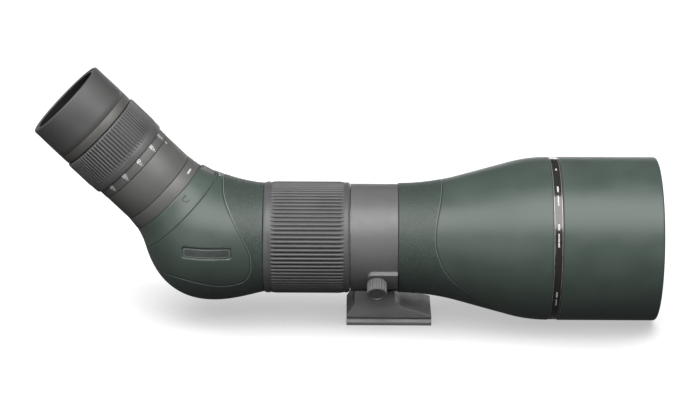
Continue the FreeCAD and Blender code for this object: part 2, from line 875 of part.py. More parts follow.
def housing_section(share, inset):
    """Closed section of the housing on one plane of the fan.

    share runs from 0 at the barrel end to 1 at the neck, and inset moves the wall inwards.
    """
    pivot, neck_reach = fan_pivot()
    turn = math.radians(V.eyepiece_tilt.value) * share
    down = Vector(-math.sin(turn), 0, -math.cos(turn))
    barrel_reach = pivot.z - V.axis_height.value
    near_start = barrel_reach - V.housing_base_radius.value
    near_end = neck_reach - V.neck_base_radius.value
    far_start = barrel_reach + V.housing_base_radius.value
    far_end = neck_reach + V.neck_base_radius.value
    swing = math.sin(math.pi * share ** V.housing_skew.value)
    near = near_start + (near_end - near_start) * share ** V.housing_crook.value + inset
    far = far_start + (far_end - far_start) * share + V.housing_heel.value * swing - inset
    wide = V.housing_base_radius.value * (1 - share) + V.neck_base_radius.value * share
    wide += V.housing_swell.value * swing - inset
    rest = math.radians(V.eyepiece_tilt.value) - turn
    middle = min(barrel_reach / math.cos(turn), neck_reach / math.cos(rest))
    centre = pivot + down * middle
    points = []
    for step in range(SECTION_POINTS):
        angle = 2 * math.pi * step / SECTION_POINTS
        reach = far - middle if math.cos(angle) > 0 else middle - near
        points.append(centre + down * (reach * math.cos(angle)) + Vector(0, wide * math.sin(angle), 0))
    curve = Part.BSplineCurve()
    curve.interpolate(points, PeriodicFlag=True)
    return Part.Wire([curve.toShape()])


def housing_solid(inset):
    """The bent housing's envelope, moved inwards by an inset."""
    sections = [housing_section(step / 5, inset) for step in range(6)]
    return Part.makeLoft(sections, True, False)


def eyepiece_cylinder(start, end, radius):
    """A cylinder on the eyepiece axis between two stations."""
    tilt = math.radians(V.eyepiece_tilt.value)
    along = Vector(-math.cos(tilt), 0, math.sin(tilt))
    bend = Vector(V.bend_x.value, 0, V.axis_height.value)
    return Part.makeCylinder(radius, end - start, bend + along * start, along)


def main_cylinder(start, end, radius):
    """A cylinder on the optical axis between two stations."""
    return Part.makeCylinder(radius, end - start, Vector(start, 0, V.axis_height.value), Vector(1, 0, 0))


def badge_block(gap):
    """Block that marks out the badge on the housing's near side, smaller all round by a gap."""
    length = V.badge_length.value - 2 * gap
    height = V.badge_height.value - 2 * gap
    wide = V.housing_base_radius.value + V.housing_swell.value + 1
    start = Vector(V.badge_x.value, -wide, V.axis_height.value + V.badge_rise.value)
    block = Part.makeBox(length, wide, height, start - Vector(length / 2, 0, height / 2))
    corners = [edge for edge in block.Edges if abs(edge.tangentAt(edge.FirstParameter).y) > 0.9]
    return block.makeFillet(V.badge_corner.value - gap, corners)


def make_housing_armour():
    """Rubber armour of the prism housing, with a shallow recess that follows its surface."""
    skin = housing_solid(0).cut(housing_solid(V.armour_wall.value))
    recess = badge_block(0).cut(housing_solid(V.badge_depth.value))
    shape_node("housing_armour", skin.cut(recess).cut(neck_screw_body()))


def make_badge_plate():
    """Plain curved nameplate on the floor of the badge recess."""
    depth = V.badge_depth.value
    shell = housing_solid(depth / 2).cut(housing_solid(depth))
    shape_node("badge_plate", shell.common(badge_block(V.end_gap.value)))


def make_prism_housing():
    """Casting: a bent shell with a barrel socket, a web for the prism bracket and the neck socket."""
    skin = V.armour_wall.value + V.skin_gap.value
    back = V.focus_back.value
    web = V.web_x.value
    shell = housing_solid(skin)
    shell = shell.fuse(eyepiece_cylinder(V.neck_station.value - 6, V.neck_top.value, V.socket_radius.value))
    cavity = housing_solid(skin + V.casting_wall.value)
    front_of_web = Part.makeBox(200, 200, 200, Vector(web - V.web_thickness.value, -100, -50))
    above_neck = eyepiece_cylinder(V.neck_station.value - V.casting_wall.value, 120, 80)
    cavity = cavity.cut(front_of_web).cut(above_neck)
    shell = shell.cut(cavity)
    socket = back - V.barrel_rear_length.value
    shell = shell.cut(main_cylinder(socket, back + 1, V.barrel_radius.value))
    shell = shell.cut(main_cylinder(web - V.web_thickness.value - 1, back + 1, V.web_bore.value))
    shell = shell.cut(eyepiece_cylinder(10, V.neck_top.value + 1, V.socket_bore.value))
    for centre in prism_screw_places():
        shell = shell.cut(prism_screw_body(centre))
    shell = shell.cut(latch_stem(V.latch_stem_radius.value + V.running_gap.value, V.socket_bore.value - 1))
    shell = shell.cut(neck_screw_body())
    shape_node("prism_housing", shell)


def prism_screw_places():
    """Centres of the four bracket screws, in Y and Z from the optical axis."""
    reach = V.prism_screw_spread.value / math.sqrt(2)
    return [(y * reach, z * reach) for y in (-1, 1) for z in (-1, 1)]


def prism_screw(centre, radius, length):
    """A cylinder at one bracket screw's place, from the plate's rear face towards the web."""
    plate = V.web_x.value - V.web_thickness.value - V.bracket_plate.value
    start = Vector(plate, centre[0], V.axis_height.value + centre[1])
    return Part.makeCylinder(radius, length, start, Vector(1, 0, 0))


def prism_screw_body(centre):
    """One bracket screw, its head sunk in the plate and its shank in the web."""
    shank = V.prism_screw_radius.value
    head = prism_screw(centre, shank * 1.7, V.prism_screw_head.value)
    return head.fuse(prism_screw(centre, shank, V.bracket_plate.value + V.web_thickness.value * 0.7))


def make_prism_screws():
    """Four socket screws that hold the prism bracket to the web."""
    solids = []
    for centre in prism_screw_places():
        socket = prism_screw(centre, V.prism_screw_radius.value * 0.8, V.prism_screw_head.value * 0.6)
        solids.append(prism_screw_body(centre).removeSplitter().cut(socket))
    shape_node("prism_screws", Part.Compound(solids))


def make_prism_bracket():
    """Plate with a round window and two cheeks that hold the prism's sides."""
    web = V.web_x.value - V.web_thickness.value
    half = V.bracket_half_width.value
    high = V.bracket_height.value
    thick = V.bracket_plate.value
    centre = V.axis_height.value
    plate = Part.makeBox(thick, 2 * half, 2 * high, Vector(web - thick, -half, centre - high))
    disc = main_cylinder(web - thick, web, high)
    plate = plate.common(disc)
    window = main_cylinder(web - thick - 1, web + 1, V.bracket_bore.value)
    plate = plate.cut(window)
    for centre_yz in prism_screw_places():
        plate = plate.cut(prism_screw_body(centre_yz))
    cheek_height = 2 * V.bracket_height.value * 0.36
    for side in (-1, 1):
        low = half - V.bracket_cheek.value if side > 0 else -half
        start = Vector(web - thick - V.bracket_cheek_length.value, low, centre - cheek_height / 2)
        plate = plate.fuse(Part.makeBox(V.bracket_cheek_length.value + thick, V.bracket_cheek.value, cheek_height, start)
                           .common(main_cylinder(web - thick - 60, web, high)))
    shape_node("prism_bracket", plate.removeSplitter())


def make_roof_prism():
    """Roof prism that bends the light by the eyepiece tilt and turns the image upright."""
    tilt = math.radians(V.eyepiece_tilt.value)
    entry = V.web_x.value - V.web_thickness.value - V.bracket_plate.value - V.moving_gap.value
    rise = V.prism_exit_station.value / math.sin(tilt) + (entry - V.bend_x.value) / math.tan(tilt)
    apex = Vector(entry, 0, V.axis_height.value + rise)
    down = Vector(0, 0, -1)
    slant = Vector(-math.sin(tilt), 0, -math.cos(tilt))
    face = V.prism_face.value
    half = V.prism_half_width.value
    low_front = apex + down * face
    low_back = apex + slant * face
    side = Vector(0, half, 0)
    triangle = Part.Face(Part.makePolygon([apex - side, low_front - side, low_back - side, apex - side]))
    block = triangle.extrude(side * 2)
    ridge_way = (low_back - low_front).normalize()
    inward = Vector(-ridge_way.z, 0, ridge_way.x)
    if inward.dot(apex - low_front) < 0:
        inward = inward * -1
    start = low_front - ridge_way * face
    across = Vector(0, half * 3, 0)
    wedge = Part.Face(Part.makePolygon([
        start, start + across + inward * half * 3, start - across + inward * half * 3, start,
    ])).extrude(ridge_way * face * 3)
    blunt = main_cylinder(entry - 60, entry, V.bracket_height.value)
    shape_node("roof_prism", block.common(wedge).common(blunt))


# --- neck, latch and eyepiece --------------------------------------------------------------

def eyepiece_point(station, out):
    """Point in the XZ plane at a station, a distance out from the axis on its upper front side."""
    tilt = math.radians(V.eyepiece_tilt.value)
    along = Vector(-math.cos(tilt), 0, math.sin(tilt))
    upward = Vector(math.sin(tilt), 0, math.cos(tilt))
    return Vector(V.bend_x.value, 0, V.axis_height.value) + along * station + upward * out


def latch_block(length, width, low, high):
    """Block at the latch's place on the neck, between two distances from the eyepiece axis."""
    block = Part.makeBox(length, width, high - low, Vector(-length / 2, -width / 2, 0))
    block.Placement = Placement(
        eyepiece_point(V.latch_station.value, low),
        Rotation(Vector(0, 1, 0), V.eyepiece_tilt.value),
    )
    return block


def latch_stem(radius, low):
    """The latch's round stem, from a distance out to the underside of its tab."""
    start = eyepiece_point(V.latch_station.value, low)
    way = (eyepiece_point(V.latch_station.value, low + 1) - start).normalize()
    return Part.makeCylinder(radius, latch_floor() + 0.8 - low, start, way)


def latch_floor():
    """Distance from the eyepiece axis of the latch tab's underside at rest."""
    return V.socket_radius.value + V.latch_travel.value + V.moving_gap.value


def make_neck_cover():
    """Tapered rubber sleeve over the neck socket, open at the top for the latch."""
    along = [
        (V.neck_station, V.neck_bore),
        (V.neck_station, V.neck_base_radius),
        (V.neck_top, V.neck_radius, 32),
        (V.neck_top, V.neck_bore),
    ]
    body = on_eyepiece_axis(turned("neck_sleeve", along))
    doc.recompute()
    gap = V.moving_gap.value
    window = latch_block(V.latch_length.value + 2 * gap, V.latch_width.value + 2 * gap, V.neck_bore.value - 2, 40)
    shape_node("neck_cover", body.Shape.cut(window))


def neck_screw_cylinder(radius, low, high):
    """A cylinder at the neck screw's place, between two distances from the eyepiece axis."""
    start = eyepiece_point(V.neck_screw_station.value, low)
    way = (eyepiece_point(0, 1) - eyepiece_point(0, 0)).normalize()
    return Part.makeCylinder(radius, high - low, start, way)


def neck_screw_body():
    """The neck screw without its socket: a head in the armour and a shank in the casting."""
    top = V.neck_screw_top.value
    head = neck_screw_cylinder(V.neck_screw_head_radius.value, top - V.neck_screw_head.value, top)
    return head.fuse(neck_screw_cylinder(V.neck_screw_shank_radius.value, top - V.neck_screw_length.value, top))


def make_neck_screw():
    """Small socket screw on top of the housing, just below the latch."""
    top = V.neck_screw_top.value
    depth = V.neck_screw_head.value * 0.6
    socket = neck_screw_cylinder(V.neck_screw_head_radius.value * 0.5, top - depth, top)
    shape_node("neck_screw", neck_screw_body().removeSplitter().cut(socket))


def make_latch():
    """Ribbed press tab with a round stem, and the spring coil under it."""
    out = V.neck_base_radius.value
    low = latch_floor()
    tab = latch_block(V.latch_length.value, V.latch_width.value, low, low + V.latch_plate.value + V.latch_reach.value)
    tab = tab.makeFillet(1.0, [edge for edge in tab.Edges if is_radial(edge)])
    pitch = V.latch_width.value / 6
    for step in range(-2, 3):
        groove = latch_block(V.latch_length.value * 0.72, pitch * 0.45,
                             low + V.latch_plate.value + V.latch_reach.value - V.latch_rib_depth.value, out + 6)
        groove.translate(Vector(0, step * pitch, 0))
        tab = tab.cut(groove)
    stem = latch_stem(V.latch_stem_radius.value, V.socket_bore.value + V.latch_travel.value + 0.3)
    shape_node("latch_tab", tab.fuse(stem).removeSplitter())
    way = (eyepiece_point(0, 1) - eyepiece_point(0, 0)).normalize()
    start = eyepiece_point(V.latch_station.value, V.socket_radius.value)
    height = low - V.socket_radius.value - V.latch_travel.value
    outer = Part.makeCylinder(V.latch_stem_radius.value + 1.0, height, start, way)
    inner = Part.makeCylinder(V.latch_stem_radius.value + V.moving_gap.value, height, start, way)
    shape_node("latch_spring", outer.cut(inner))


def is_radial(edge):
    """True for an edge of the latch tab that points away from the eyepiece axis."""
    way = (eyepiece_point(0, 1) - eyepiece_point(0, 0)).normalize()
    return abs(edge.tangentAt(edge.FirstParameter).dot(way)) > 0.99


def make_eyepiece():
    """Fixed eyepiece: the ocular tube, its outer shell and base ring, and the fixed lenses."""
    bottom = V.neck_top - V.spigot_length
    front = V.front_group_pin
    rear = V.rear_group_pin
    tube = turned("ocular_tube", [
        (bottom, V.ocular_bore),
        (V.ocular_top, V.ocular_bore),
        (V.ocular_top, V.ocular_radius),
        (V.shell_top, V.ocular_radius),
        (V.shell_top, V.shell_bore),
        (V.neck_top, V.shell_bore),
        (V.neck_top, V.socket_bore - V.skin_gap),
        (bottom, V.socket_bore - V.skin_gap),
    ])
    slotted(tube, front, V.front_group_travel + V.zoom_pin_radius + V.moving_gap,
            V.zoom_pin_radius + V.running_gap, V.ocular_radius + 1, -1)
    slotted(tube, rear, V.rear_group_travel + V.zoom_pin_radius + V.moving_gap,
            V.zoom_pin_radius + V.running_gap, V.ocular_radius + 1, 1)
    keep("ocular_tube", on_eyepiece_axis(tube))
    shell = turned("eyepiece_shell", [
        (V.base_ring_top, V.shell_bore),
        (V.base_ring_top, V.shell_radius),
        (V.shell_top, V.shell_radius),
        (V.shell_top, V.shell_bore),
    ])
    keep("eyepiece_shell", on_eyepiece_axis(shell))
    base = turned("eyepiece_base_ring", [
        (V.neck_top, V.shell_bore),
        (V.neck_top, V.base_ring_radius),
        (V.base_ring_top, V.base_ring_top_radius),
        (V.base_ring_top, V.shell_bore),
    ])
    keep("eyepiece_base_ring", on_eyepiece_axis(base))
    glass = V.ocular_bore
    stop = ring("field_stop", bottom, bottom + V.field_stop_length, V.field_stop_bore, glass)
    keep("field_stop", on_eyepiece_axis(stop))
    field = lens("field_lens", V.field_lens_station, V.field_lens_station + V.field_lens_thick, glass,
                 V.field_lens_curve, None)
    keep("field_lens", on_eyepiece_axis(field))


def make_eye_lens():
    """Two-lens eye group with a spacer and a screwed retainer at the top of the ocular tube."""
    glass = V.ocular_bore
    bottom = V.rear_group_pin + V.group_length / 2 + V.rear_group_travel + V.moving_gap
    low = bottom + V.eye_lens_edge
    inner = lens("inner_eye_lens", bottom, low, glass, None, V.eye_lens_curve * 3)
    keep("inner_eye_lens", on_eyepiece_axis(inner))
    spacer_top = low + V.eye_lens_spacer
    spacer_low = low + edge_rise(V.eye_lens_curve * 3, glass, glass - 2)
    spacer = ring("eye_lens_spacer", spacer_low, spacer_top, glass - 2, glass)
    keep("eye_lens_spacer", on_eyepiece_axis(spacer))
    lens_top = spacer_top + V.eye_lens_edge
    outer = lens("eye_lens", spacer_top, lens_top, glass, None, V.eye_lens_curve)
    keep("eye_lens", on_eyepiece_axis(outer))
    seat = lens_top + edge_rise(V.eye_lens_curve, glass, V.eye_retainer_bore)
    retainer = turned("eye_lens_retainer", [
        (seat, V.eye_retainer_bore),
        (seat + V.eye_retainer_length, V.eye_retainer_bore),
        (V.ocular_top, V.eye_retainer_bore + 1.8),
        (V.ocular_top, glass),
        (seat, glass),
    ])
    keep("eye_lens_retainer", on_eyepiece_axis(retainer))


def make_zoom_ring():
    """Zoom ring: a sleeve with two cam grooves, the ribbed grip and the number ring."""
    bore = V.ocular_radius + V.running_gap
    bottom = V.shell_top + V.end_gap
    sleeve = ring("zoom_sleeve", bottom, V.zoom_top, bore, V.zoom_sleeve_radius)
    groove = (V.zoom_pin_radius + V.cam_gap) * 2
    cam_groove(sleeve, V.front_group_pin, bore, groove, V.zoom_cam_depth,
               V.front_group_lead, V.zoom_cam_turns, False)
    cam_groove(sleeve, V.rear_group_pin, bore, groove, V.zoom_cam_depth,
               V.rear_group_lead, V.zoom_cam_turns, True)
    keep("zoom_sleeve", on_eyepiece_axis(sleeve))
    numbers = turned("number_ring", [
        (bottom, V.zoom_sleeve_radius),
        (bottom, V.number_ring_radius),
        (V.number_ring_top, V.number_ring_radius),
        (V.number_ring_top, V.zoom_sleeve_radius),
    ])
    keep("number_ring", on_eyepiece_axis(numbers))
    grip = turned("zoom_grip", [
        (V.number_ring_top, V.zoom_sleeve_radius),
        (V.number_ring_top, V.zoom_radius_low),
        (V.zoom_rib_start, V.zoom_radius_low),
        (V.zoom_top - 1.2, V.zoom_radius_top),
        (V.zoom_top, V.zoom_radius_top - 0.6),
        (V.zoom_top, V.zoom_sleeve_radius),
    ])
    scallops(grip, V.zoom_rib_start, V.zoom_top - V.zoom_rib_start + 1,
             V.zoom_radius_top + V.zoom_rib_round - V.zoom_rib_depth, V.zoom_rib_round, V.zoom_rib_count)
    keep("zoom_grip", on_eyepiece_axis(grip))


def make_zoom_group(name, pin_station, side):
    """One moving lens group: a cell with its drive pin on one side, and its lens."""
    outer = V.ocular_bore - V.running_gap
    bore = outer - V.group_wall
    bottom = pin_station - V.group_length / 2
    top = pin_station + V.group_length / 2
    seat = pin_station - V.group_lens_thick / 2
    cell = turned(name + "_cell", [
        (bottom, bore - V.group_lip),
        (seat, bore - V.group_lip),
        (seat, bore),
        (top, bore),
        (top, outer),
        (bottom, outer),
    ])
    post = new_sketch(cell, name + "_pin")
    post.addGeometry(Part.Circle(Vector(pin_station.value, 0, 0), Vector(0, 0, 1), V.zoom_pin_radius.value))
    post.addConstraint(Sketcher.Constraint("PointOnObject", 0, 3, -1))
    place = post.addConstraint(Sketcher.Constraint("DistanceX", -1, 1, 0, 3, pin_station.value))
    post.setExpression("Constraints[%d]" % place, pin_station.text)
    wide = post.addConstraint(Sketcher.Constraint("Radius", 0, V.zoom_pin_radius.value))
    post.setExpression("Constraints[%d]" % wide, V.zoom_pin_radius.text)
    reach = V.ocular_radius + V.running_gap + V.zoom_cam_depth - V.moving_gap
    start = bore + V.group_wall / 2
    post.AttachmentOffset = Placement(Vector(0, 0, -side * start.value), Rotation())
    post.setExpression("AttachmentOffset.Base.z", (start * -side).text)
    pad = cell.newObject("PartDesign::Pad", name + "_post")
    pad.Profile = post
    pad.Reversed = side > 0
    bind(pad, "Length", reach - start)
    keep(name + "_cell", on_eyepiece_axis(cell))
    curve = V.group_lens_curve
    glass = lens(name + "_lens", seat, seat + V.group_lens_thick, bore - V.lens_gap, -curve, None)
    keep(name + "_lens", on_eyepiece_axis(glass))


def make_eyecup():
    """Twist-up eyecup: keyed lift ring, metal sleeve with its outer ring, and the rubber cup."""
    bottom = V.cup_ring_bottom
    lift_bottom = bottom + 0.5
    lift_top = lift_bottom + V.lift_ring_length
    bore = V.ocular_radius + V.running_gap
    lift = ring("eyecup_lift_ring", lift_bottom, lift_top, bore, V.cup_sleeve_bore - V.running_gap)
    keep("eyecup_lift_ring", on_eyepiece_axis(lift))
    stop = lift_top + V.running_gap
    sleeve = turned("eyecup_sleeve", [
        (bottom, V.cup_sleeve_bore),
        (bottom, V.cup_ring_radius - 0.4),
        (bottom + 0.5, V.cup_ring_radius),
        (V.cup_ring_top, V.cup_ring_radius),
        (V.cup_ring_top, V.cup_sleeve_radius),
        (V.cup_sleeve_top, V.cup_sleeve_radius),
        (V.cup_sleeve_top, V.cup_sleeve_bore),
        (stop + V.cup_stop, V.cup_sleeve_bore),
        (stop + V.cup_stop, bore + 0.3),
        (stop, bore + 0.3),
        (stop, V.cup_sleeve_bore),
    ])
    keep("eyecup_sleeve", on_eyepiece_axis(sleeve))
    cup = turned("eyecup_rubber", [
        (V.cup_ring_top, V.cup_sleeve_radius),
        (V.cup_ring_top, V.cup_radius),
        (V.cup_end - 2.5, V.cup_radius),
        (V.cup_end, V.cup_radius - 1.1, 4),
        (V.cup_end, V.cup_mouth + 0.6),
        (V.cup_end - 2.5, V.cup_mouth - 0.8),
        (V.cup_sleeve_top, V.cup_mouth - 0.8),
        (V.cup_sleeve_top, V.cup_sleeve_radius),
    ])
    keep("eyecup_rubber", on_eyepiece_axis(cup))


# --- tripod collar, foot and clamp ---------------------------------------------------------

def clamp_frame(along=0.0):
    """Placement whose +Z runs outwards along the clamp axis, at a distance from the optical axis."""
    tilt = V.clamp_tilt.value
    way = Vector(0, -math.cos(math.radians(tilt)), -math.sin(math.radians(tilt)))
    base = Vector(V.clamp_x.value, 0, V.axis_height.value) + way * along
    return Placement(base, Rotation(Vector(1, 0, 0), 90 + tilt))


def clamp_cylinder(radius, start, end):
    """A cylinder on the clamp axis between two distances from the optical axis."""
    cylinder = Part.makeCylinder(radius, end - start)
    cylinder.Placement = clamp_frame(start)
    return cylinder


def foot_profile():
    """Side view of the foot's neck and plate, as a face at the foot's near side."""
    length = V.foot_half_length.value
    top = V.plate_top.value
    centre = V.axis_height.value
    back = V.foot_neck_back.value
    front = V.foot_neck_front.value
    rear_foot = Vector(back - V.rear_flare_run.value, 0, V.rear_flare_foot.value)
    rear_top = Vector(back, 0, V.rear_flare_height.value)
    front_foot = Vector(front + V.front_flare_run.value, 0, V.front_flare_foot.value)
    front_top = Vector(front, 0, V.front_flare_height.value)
    edges = [
        Part.makeLine(Vector(-length, 0, 0), Vector(-length, 0, top)),
        Part.makeLine(Vector(-length, 0, top), rear_foot),
        flare(rear_foot, rear_top, V.rear_flare_round.value, -1),
        Part.makeLine(rear_top, Vector(back, 0, centre)),
        Part.makeLine(Vector(back, 0, centre), Vector(front, 0, centre)),
        Part.makeLine(Vector(front, 0, centre), front_top),
        flare(front_top, front_foot, V.front_flare_round.value, 1),
        Part.makeLine(front_foot, Vector(length, 0, top)),
        Part.makeLine(Vector(length, 0, top), Vector(length, 0, 0)),
        Part.makeLine(Vector(length, 0, 0), Vector(-length, 0, 0)),
    ]
    face = Part.Face(Part.Wire(edges))
    face.translate(Vector(0, -V.foot_half_width.value, 0))
    return face


def flare(start, end, radius, side):
    """Concave arc in the XZ plane between two points, its centre on the outer (side) X way."""
    chord = end - start
    half = chord.Length / 2
    across = Vector(-chord.z, 0, chord.x).normalize()
    if across.x * side < 0:
        across = across * -1
    rise = math.sqrt(max(radius * radius - half * half, 0))
    centre = (start + end) * 0.5 + across * rise
    middle = centre - across * radius
    return Part.Arc(start, middle, end).toShape()


def dovetail_cut(side):
    """Bevel and V groove along one long side of the foot."""
    half = V.foot_half_width.value
    inset = V.foot_bevel_inset.value
    edge = V.foot_edge.value
    deep = edge + V.foot_bevel.value
    length = V.foot_half_length.value + 1
    corners = [
        Vector(-length, side * (half + 1), edge),
        Vector(-length, side * half, edge),
        Vector(-length, side * (half - inset), deep),
        Vector(-length, side * (half - 0.3), deep + V.foot_groove.value),
        Vector(-length, side * (half + 1), deep + V.foot_groove.value),
    ]
    face = Part.Face(Part.makePolygon(corners + corners[:1]))
    return face.extrude(Vector(2 * length, 0, 0))


def make_tripod_collar():
    """One casting: the collar ring, the clamp boss, the neck and the dovetail foot."""
    half = V.foot_half_width.value
    back = V.collar_back.value
    front = V.collar_front.value
    band = main_cylinder(back, front, V.collar_radius.value)
    foot = foot_profile().extrude(Vector(0, 2 * half, 0))
    low_half = V.boss_half_height.value
    boss = Part.makeBox(front - V.boss_back.value, 2 * low_half, V.boss_face.value - V.boss_root.value)
    boss.Placement = clamp_frame(V.boss_root.value)
    boss.translate(Vector(V.boss_back.value - V.clamp_x.value, 0, 0))
    across = boss.Placement.Rotation.multVec(Vector(0, 1, 0))
    boss.translate(across * -low_half)
    way = boss.Placement.Rotation.multVec(Vector(0, 0, 1))
    rounded_edges = [edge for edge in boss.Edges
                     if abs(edge.tangentAt(edge.FirstParameter).dot(way)) > 0.99
                     and edge.BoundBox.XMin < V.boss_back.value + 0.5
                     and edge.BoundBox.ZMax > boss.BoundBox.ZMax - 6]
    boss = boss.makeFillet(V.boss_round.value, rounded_edges)
    body = band.fuse([foot, boss])
    body = body.cut(main_cylinder(back - 1, front + 60, V.collar_bore.value))
    body = body.cut(dovetail_cut(-1)).cut(dovetail_cut(1))
    body = body.cut(Part.makeCylinder(V.insert_radius.value, V.insert_length.value + 0.01))
    body = body.cut(Part.makeCylinder(V.guide_hole_radius.value, V.guide_hole_depth.value,
                                      Vector(V.guide_hole_x.value, 0, 0)))
    body = body.cut(clamp_cylinder(V.shoe_radius.value + V.running_gap.value, 20, shoe_recess()))
    body = body.cut(clamp_cylinder(V.screw_radius.value + V.running_gap.value, 20, 60))
    shape_node("tripod_collar", body.removeSplitter())


def shoe_recess():
    """Distance from the optical axis of the floor of the clamp shoe's pocket."""
    low = V.barrel_radius.value + V.running_gap.value
    return low + V.shoe_length.value + V.shoe_travel.value + V.moving_gap.value


def make_collar_liner():
    """Thin plastic bearing sleeve inside the collar, with a window for the clamp shoe."""
    bore = V.barrel_radius + V.running_gap
    liner = ring("liner_sleeve", V.collar_back + V.end_gap, V.collar_front - V.end_gap, bore, V.collar_bore)
    on_main_axis(liner)
    doc.recompute()
    window = clamp_cylinder(V.shoe_radius.value + V.running_gap.value, 20, 40)
    shape_node("collar_liner", liner.Shape.cut(window))


def make_thread_insert():
    """Steel insert with the tripod thread, pressed into the foot."""
    tube = Part.makeCylinder(V.insert_radius.value, V.insert_length.value)
    tube = tube.cut(Part.makeCylinder(V.socket_thread_radius.value, V.insert_length.value - 0.6))
    shape_node("thread_insert", tube)


def make_clamp():
    """Clamp shoe, the screw that carries it, and the ribbed knob."""
    low = V.barrel_radius.value + V.running_gap.value
    high = low + V.shoe_length.value
    gap = V.running_gap.value
    head = V.screw_head_length.value
    radius = V.screw_radius.value
    shoe = clamp_cylinder(V.shoe_radius.value, 25, high)
    shoe = shoe.cut(main_cylinder(-60, 60, low))
    pocket = clamp_cylinder(radius + gap + 1.0, high - 1.6, high - 1.6 + head + 2 * gap)
    throat = clamp_cylinder(radius + gap, high - 1, high + 1)
    shape_node("clamp_shoe", shoe.cut(pocket).cut(throat))
    tip = high - 1.6 + gap
    knob_back = V.boss_face.value + V.moving_gap.value + 0.1
    screw_end = knob_back + V.knob_screw_depth.value
    screw = clamp_cylinder(radius + 1.0, tip, tip + head).fuse(clamp_cylinder(radius, tip, screw_end))
    shape_node("clamp_screw", screw.removeSplitter())
    knob = clamp_cylinder(V.knob_radius.value, knob_back, knob_back + V.knob_length.value)
    rims = [edge for edge in knob.Edges if isinstance(edge.Curve, Part.Circle)]
    knob = knob.makeChamfer(0.5, rims)
    knob = knob.cut(clamp_cylinder(radius, knob_back - 1, screw_end))
    face = knob_back + V.knob_length.value
    knob = knob.cut(clamp_cylinder(V.knob_radius.value - 1.6, face - V.knob_face_recess.value, face + 1))
    for step in range(int(V.knob_rib_count.value)):
        knob = knob.cut(knob_groove(step * 360.0 / V.knob_rib_count.value, knob_back))
    shape_node("lock_knob", knob)


def knob_groove(angle, knob_back):
    """One lengthwise groove of the knob at an angle about its axis."""
    groove = Part.makeCylinder(V.knob_rib_round.value, V.knob_length.value - 0.9,
                               Vector(V.knob_radius.value + V.knob_rib_round.value * 0.25, 0, -0.01))
    groove.rotate(Vector(0, 0, 0), Vector(0, 0, 1), angle)
    groove.Placement = clamp_frame(knob_back).multiply(groove.Placement)
    return groove


# --- build and export ----------------------------------------------------------------------

def build():
    """Make every sub-part."""
    make_front_armour()
    make_main_barrel()
    make_objective_tube()
    make_hood_seals()
    make_front_band()
    make_sunshade()
    make_objective()
    make_baffles()
    make_focus_ring()
    make_collar_circlip()
    make_focus_carriage()
    make_housing_armour()
    make_badge_plate()
    make_prism_housing()
    make_prism_screws()
    make_prism_bracket()
    make_roof_prism()
    make_neck_cover()
    make_neck_screw()
    make_latch()
    make_eyepiece()
    make_eye_lens()
    make_zoom_ring()
    make_zoom_group("front_zoom", V.front_group_pin, -1)
    make_zoom_group("rear_zoom", V.rear_group_pin, 1)
    make_eyecup()
    make_tripod_collar()
    make_collar_liner()
    make_thread_insert()
    make_clamp()
    doc.recompute()


def check():
    """Stop if any object failed, or any sub-part is empty or invalid."""
    for item in doc.Objects:
        if "Invalid" in item.State or "Error" in item.State:
            raise RuntimeError("%s failed: %s" % (item.Name, item.State))
    for name, feature in nodes.items():
        if feature.Shape.isNull() or not feature.Shape.isValid():
            raise RuntimeError("%s has no valid shape" % name)


def export():
    """Write each sub-part to its own STEP file."""
    os.makedirs("parts", exist_ok=True)
    for name, feature in nodes.items():
        feature.Shape.exportStep(os.path.join("parts", name + ".step"))


build()
check()
export()
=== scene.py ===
"""Looks for the angled spotting scope: every visible piece, its finish, the stage and the camera.

All lengths are metres in the part's own frame. Stations along the optical axis are X, and stations
along the eyepiece axis are measured from the point where the two axes meet.
"""

import json
import logging
import math
from dataclasses import dataclass
from enum import Enum
from typing import Sequence

import bmesh
import bpy
import numpy as np
from mathutils import Euler, Matrix, Vector

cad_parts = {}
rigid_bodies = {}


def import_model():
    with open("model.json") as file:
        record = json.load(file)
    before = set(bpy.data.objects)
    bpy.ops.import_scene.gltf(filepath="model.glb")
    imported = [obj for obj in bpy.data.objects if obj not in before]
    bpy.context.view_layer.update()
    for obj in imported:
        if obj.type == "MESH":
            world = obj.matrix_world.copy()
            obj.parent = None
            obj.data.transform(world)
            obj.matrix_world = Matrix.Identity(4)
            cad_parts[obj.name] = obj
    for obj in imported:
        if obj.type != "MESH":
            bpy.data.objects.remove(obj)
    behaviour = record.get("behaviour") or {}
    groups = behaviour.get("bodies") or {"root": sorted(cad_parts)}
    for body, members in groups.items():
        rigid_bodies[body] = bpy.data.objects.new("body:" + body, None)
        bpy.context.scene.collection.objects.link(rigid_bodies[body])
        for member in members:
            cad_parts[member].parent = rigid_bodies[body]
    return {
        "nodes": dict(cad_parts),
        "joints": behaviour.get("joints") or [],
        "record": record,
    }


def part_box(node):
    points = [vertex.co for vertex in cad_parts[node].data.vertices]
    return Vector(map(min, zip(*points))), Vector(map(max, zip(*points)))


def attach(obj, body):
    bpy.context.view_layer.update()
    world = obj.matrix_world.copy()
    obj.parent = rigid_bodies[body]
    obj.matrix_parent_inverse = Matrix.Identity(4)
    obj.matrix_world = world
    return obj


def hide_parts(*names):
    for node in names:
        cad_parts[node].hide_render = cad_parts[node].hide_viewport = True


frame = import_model()

MM = 0.001
BOX_FACES = ((0, 1, 3, 2), (4, 5, 7, 6), (0, 1, 5, 4), (2, 3, 7, 6), (0, 2, 6, 4), (1, 3, 7, 5))
COVER_END = 28.0 * MM
PEBBLE_SEED = 7
PEBBLE_SIZES = (0.7, 1.15)
log = logging.getLogger("spotting_scope")

Profile = list[tuple[float, float]]
Colour = tuple[float, float, float]


# --- finishes -----------------------------------------------------------------------------------

